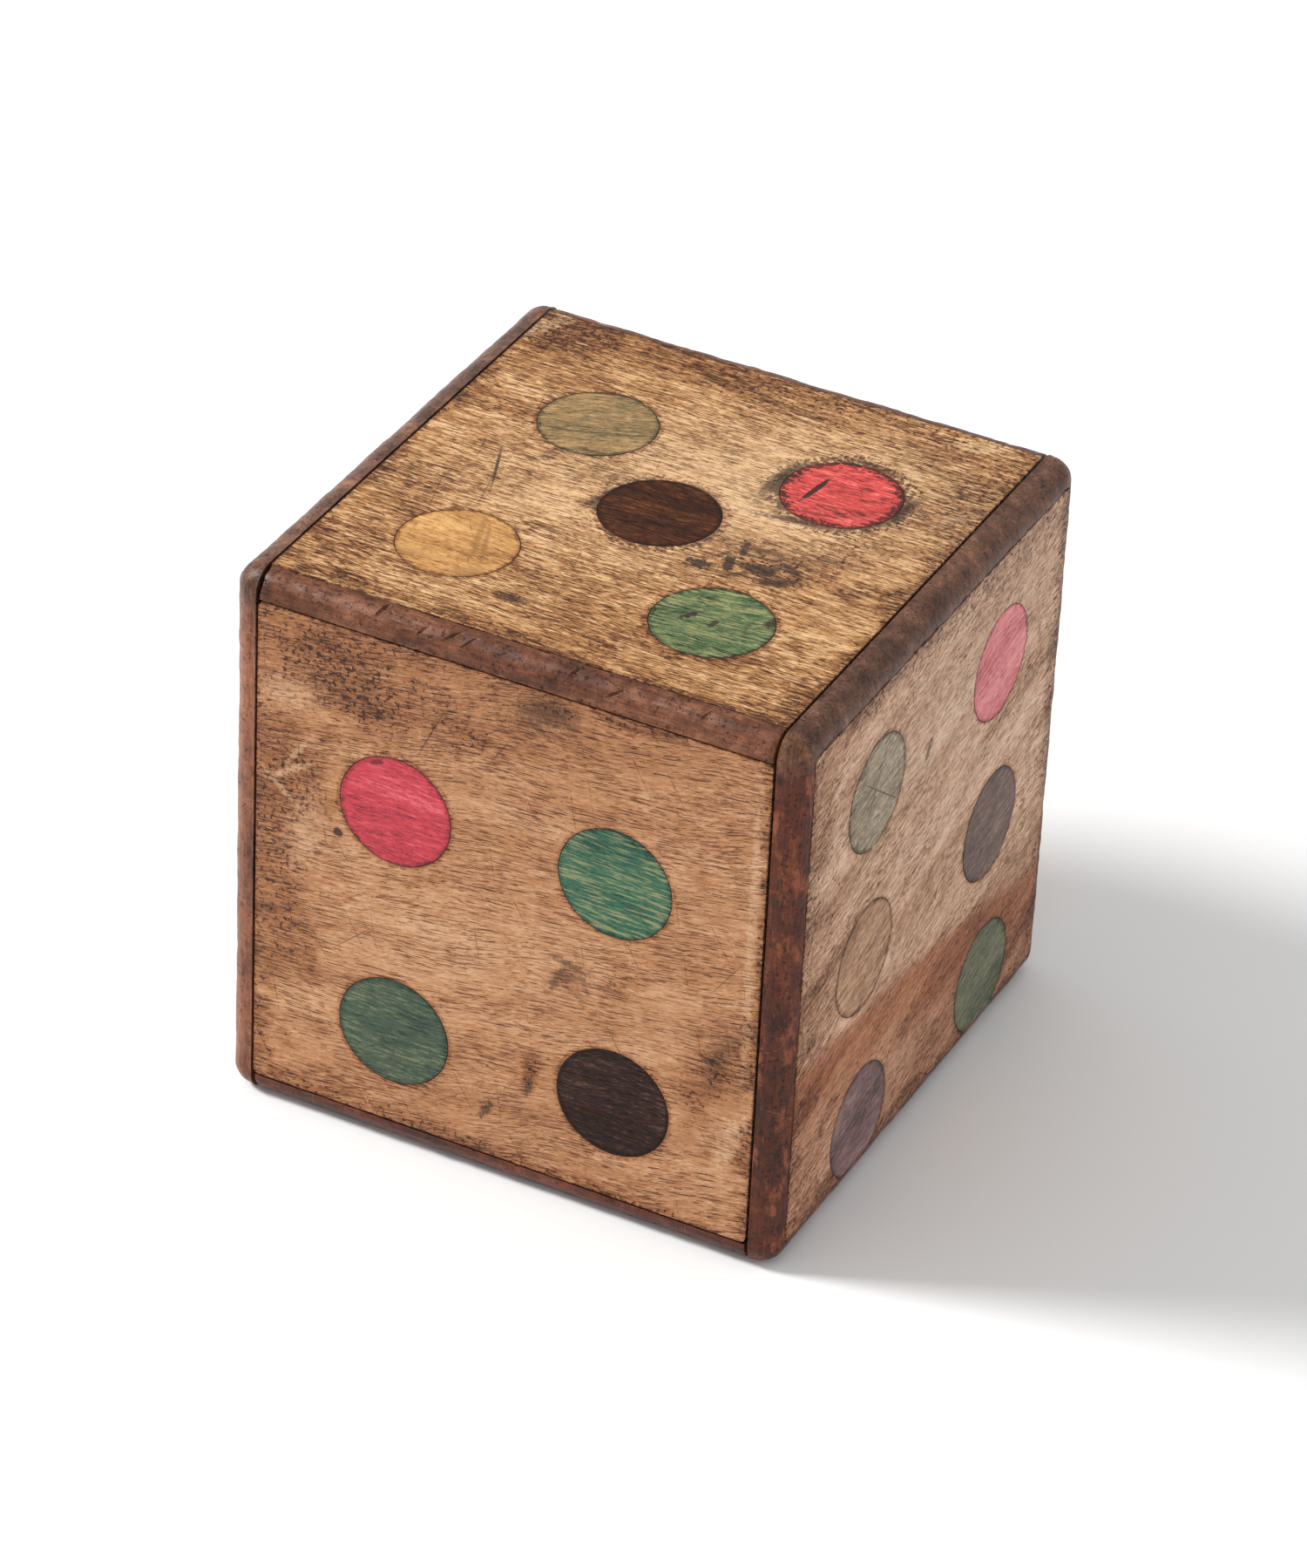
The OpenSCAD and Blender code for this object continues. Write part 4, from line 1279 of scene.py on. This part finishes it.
def socket_cutter(key):
    """A merged copy of a packed key, which cuts its own socket in the board."""
    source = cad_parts[key]
    copy = bpy.data.objects.new("socket_" + key, source.data.copy())
    bpy.context.scene.collection.objects.link(copy)
    pick(copy)
    bpy.ops.object.mode_set(mode="EDIT")
    bpy.ops.mesh.select_all(action="SELECT")
    bpy.ops.mesh.remove_doubles(threshold=0.001 * MM)
    bpy.ops.object.mode_set(mode="OBJECT")
    return copy


print("cutters ready")

# %% [markdown]
# The lid gets seven dents along its front edge, where a thumb has pushed it open. Each row is
# how far along it lies, its lift and slant in degrees, and its half length. Points that lie
# within FLAT_SIDE of a board's inner side aren't worn, because that side slides on the box.

# %% Make the lid and the base board
FLAT_SIDE = 0.05 * MM
lid_low, lid_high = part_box("top_board")
lid = sliding_board("top_board", box_high.z)
rim_y = lid_high.y - ROUND
wear(lid, 0.27, 0.13, lambda co: co.z > lid_low.z + FLAT_SIDE and abs(co.y) > rim_y - HAIR
     and (abs(co.y) > rim_y + HAIR or co.z > lid_high.z - HAIR))
bar_y, bar_z = lid_low.y + ROUND, lid_high.z - ROUND
LID_DENTS = [(-18.2, 62, -28, 1.6), (-8.6, 52, -46, 2.0), (-6.4, 48, -40, 1.4), (-12.5, 42, -36, 1.2),
             (7.4, 60, -34, 1.3), (13.0, 38, -52, 1.5), (24.5, 55, -30, 1.1)]
dents = []
reach = ROUND + 0.03 * MM
for along, lift, slant, length in LID_DENTS:
    lift_angle = math.radians(lift)
    place = (along * MM, bar_y - reach * math.cos(lift_angle), bar_z + reach * math.sin(lift_angle))
    dents.append(lens(place, (0.36, length, 0.45), lift, slant))
cut_away(lid, dents)

base = sliding_board("base_board", box_low.z)
base_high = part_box("base_board")[1]
wear(base, 0.2, 0.12, lambda co: co.z < base_high.z - FLAT_SIDE and abs(co.y) > rim_y - HAIR
     and (abs(co.y) > rim_y + HAIR or co.z < box_low.z + HAIR))
print("made", lid.name, "and", base.name)

# %% [markdown]
# The end boards are worn on all four rounds. A key stands in each one's inner side, and a copy
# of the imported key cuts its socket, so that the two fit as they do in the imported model.

# %% Make the end boards
ends = {}
for side, outer in (("left", box_low.x), ("right", box_high.x)):
    name = side + "_board"
    low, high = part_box(name)
    inner = low.x if side == "right" else high.x
    middle = (low + high) / 2
    rim_z = (high.z - low.z) / 2 - ROUND
    board = end_board(name, outer)
    wear(board, 0.16, 0.11, lambda co: abs(co.x - inner) > FLAT_SIDE and (
        max(abs(co.y) - rim_y, abs(co.z - middle.z) - rim_z) > HAIR or abs(co.x - outer) < HAIR))
    cut_away(board, [socket_cutter(side + "_key")])
    ends[name] = board
print("made", ", ".join(board.name for board in ends.values()))

# %% [markdown]
# Each worn board takes the place of its packed one. It rides on the same body, so it moves
# with its joint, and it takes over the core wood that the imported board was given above.

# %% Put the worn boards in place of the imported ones
for name, board, body in (("top_board", lid, "top_lid"), ("base_board", base, "base_panel"),
                          ("left_board", ends["left_board"], "left_end_panel"),
                          ("right_board", ends["right_board"], "right_end_panel")):
    board.data.materials.clear()
    board.data.materials.append(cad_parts[name].data.materials[0])
    pick(board)
    bpy.ops.object.shade_smooth_by_angle(angle=math.radians(38))
    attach(board, body)
    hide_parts(name)
    board.data.calc_loop_triangles()
    print(board.name, len(board.data.loop_triangles), "triangles")

# %% [markdown]
# ## The plain wood inside
# Nothing inside was ever dyed or oiled, so it has stayed pale, planed wood. The same figure
# group serves, with few pores and no dirt.

# %% The inside wood


def inside_wood(name, face, grain_turn, seed):
    material, tree, flat = start_material(name, face)
    grain = use(tree, figure, {"Vector": flat, "Turn": math.radians(grain_turn), "Wander": 2.0, "Seed": seed,
                               "Level": 0.62, "Grit": 0.22, "Streak": 0.35, "Drift": 0.5,
                               "Pore Share": 0.1, "Pore Depth": 0.35, "Pore Scale": (0.4, 4.0, 1)})
    colour = tone_colours(tree, grain["Tone"],
                          paints((120, 86, 56), (168, 128, 86), (200, 164, 118), (222, 192, 150)))
    height = maths(tree, "SUBTRACT", maths(tree, "MULTIPLY", grain["Fibre"], 0.5), grain["Pores"])
    roughness = maths(tree, "MULTIPLY_ADD", grain["Fibre"], 0.12, 0.56)
    finish_material(tree, colour, roughness, height, relief=0.05, shine=0.3)
    return material


INSIDE = {
    "left_inner_wall": ("left", 0.0),
    "right_inner_wall": ("right", 0.0),
    "inner_floor": ("top", 0.0),
    "left_rails": ("left", 90.0),
    "right_rails": ("right", 90.0),
    "left_rail_stops": ("left", 0.0),
    "right_rail_stops": ("right", 0.0),
    "lid_runner_left": ("left", 0.0),
    "lid_runner_right": ("right", 0.0),
    "base_runner_left": ("left", 0.0),
    "base_runner_right": ("right", 0.0),
    "left_key": ("left", 90.0),
    "right_key": ("right", 90.0),
}
for count, (name, (face, turn)) in enumerate(INSIDE.items()):
    dress(name, inside_wood(name.replace("_", " "), face, turn, 40.0 + count))
print("dressed", len(INSIDE), "inside pieces")

# %% [markdown]
# ## Floor, light and camera
# The floor is plain and pale. One small, distant lamp on the left makes the clear shadow to
# the right, and an even white surround fills the shaded side.

# %% The floor


def make_floor():
    bpy.ops.object.select_all(action="DESELECT")
    bpy.ops.mesh.primitive_plane_add(size=8.0, location=(0, 0, box_low.z))
    floor = bpy.context.object
    floor.name = "studio_floor"
    material = bpy.data.materials.new("pale floor")
    material.use_nodes = True
    shader = material.node_tree.nodes["Principled BSDF"]
    shader.inputs["Base Color"].default_value = paint(242, 242, 241)
    shader.inputs["Roughness"].default_value = 0.9
    shader.inputs["Specular IOR Level"].default_value = 0.2
    floor.data.materials.append(material)
    return floor


print("laid the", make_floor().name)

# %% The light
LAMP_TURN = math.radians(20.0)
LAMP_LIFT = math.radians(41.0)
LAMP_DISTANCE = 1.2
lamp_way = Vector((-math.cos(LAMP_TURN) * math.cos(LAMP_LIFT),
                   -math.sin(LAMP_TURN) * math.cos(LAMP_LIFT),
                   math.sin(LAMP_LIFT)))
lamp_data = bpy.data.lights.new("studio_lamp", "AREA")
lamp_data.shape = "DISK"
lamp_data.size = 0.3
lamp_data.energy = 14.4
lamp = bpy.data.objects.new("studio_lamp", lamp_data)
bpy.context.scene.collection.objects.link(lamp)
lamp.location = box_middle + lamp_way * LAMP_DISTANCE
lamp.rotation_euler = lamp_way.to_track_quat("Z", "Y").to_euler()

world = bpy.data.worlds.new("studio surround")
world.use_nodes = True
surround = world.node_tree.nodes["Background"]
surround.inputs["Color"].default_value = (0.98, 0.99, 1.0, 1.0)
surround.inputs["Strength"].default_value = 0.72
bpy.context.scene.world = world
bpy.context.scene.view_settings.view_transform = "Standard"
print("lamp at", [round(v, 2) for v in lamp.location])

# %% [markdown]
# The camera stands a little to the right of the front and looks down on the box. It is far
# away with a long lens, so the cube's edges converge only slightly, and it is tipped by a few
# degrees, as a camera held in the hand is.

# %% The camera
TURN, LIFT, ROLL = (math.radians(angle) for angle in (25.9, 33.8, 2.8))
CAMERA_DISTANCE = 0.8495
camera_data = bpy.data.cameras.new("camera")
camera_data.sensor_width = 36.0
camera_data.lens = 158.5
camera_data.shift_x = 0.0018
camera_data.shift_y = -0.0076
camera = bpy.data.objects.new("camera", camera_data)
bpy.context.scene.collection.objects.link(camera)
look_back = Vector((math.sin(TURN) * math.cos(LIFT), -math.cos(TURN) * math.cos(LIFT), math.sin(LIFT)))
aim = Matrix.Rotation(TURN, 4, "Z") @ Matrix.Rotation(math.pi / 2 - LIFT, 4, "X")
camera.matrix_world = (Matrix.Translation(box_middle + look_back * CAMERA_DISTANCE)
                       @ aim @ Matrix.Rotation(ROLL, 4, "Z"))
bpy.context.scene.camera = camera
print("camera at", [round(v, 3) for v in camera.matrix_world.translation])
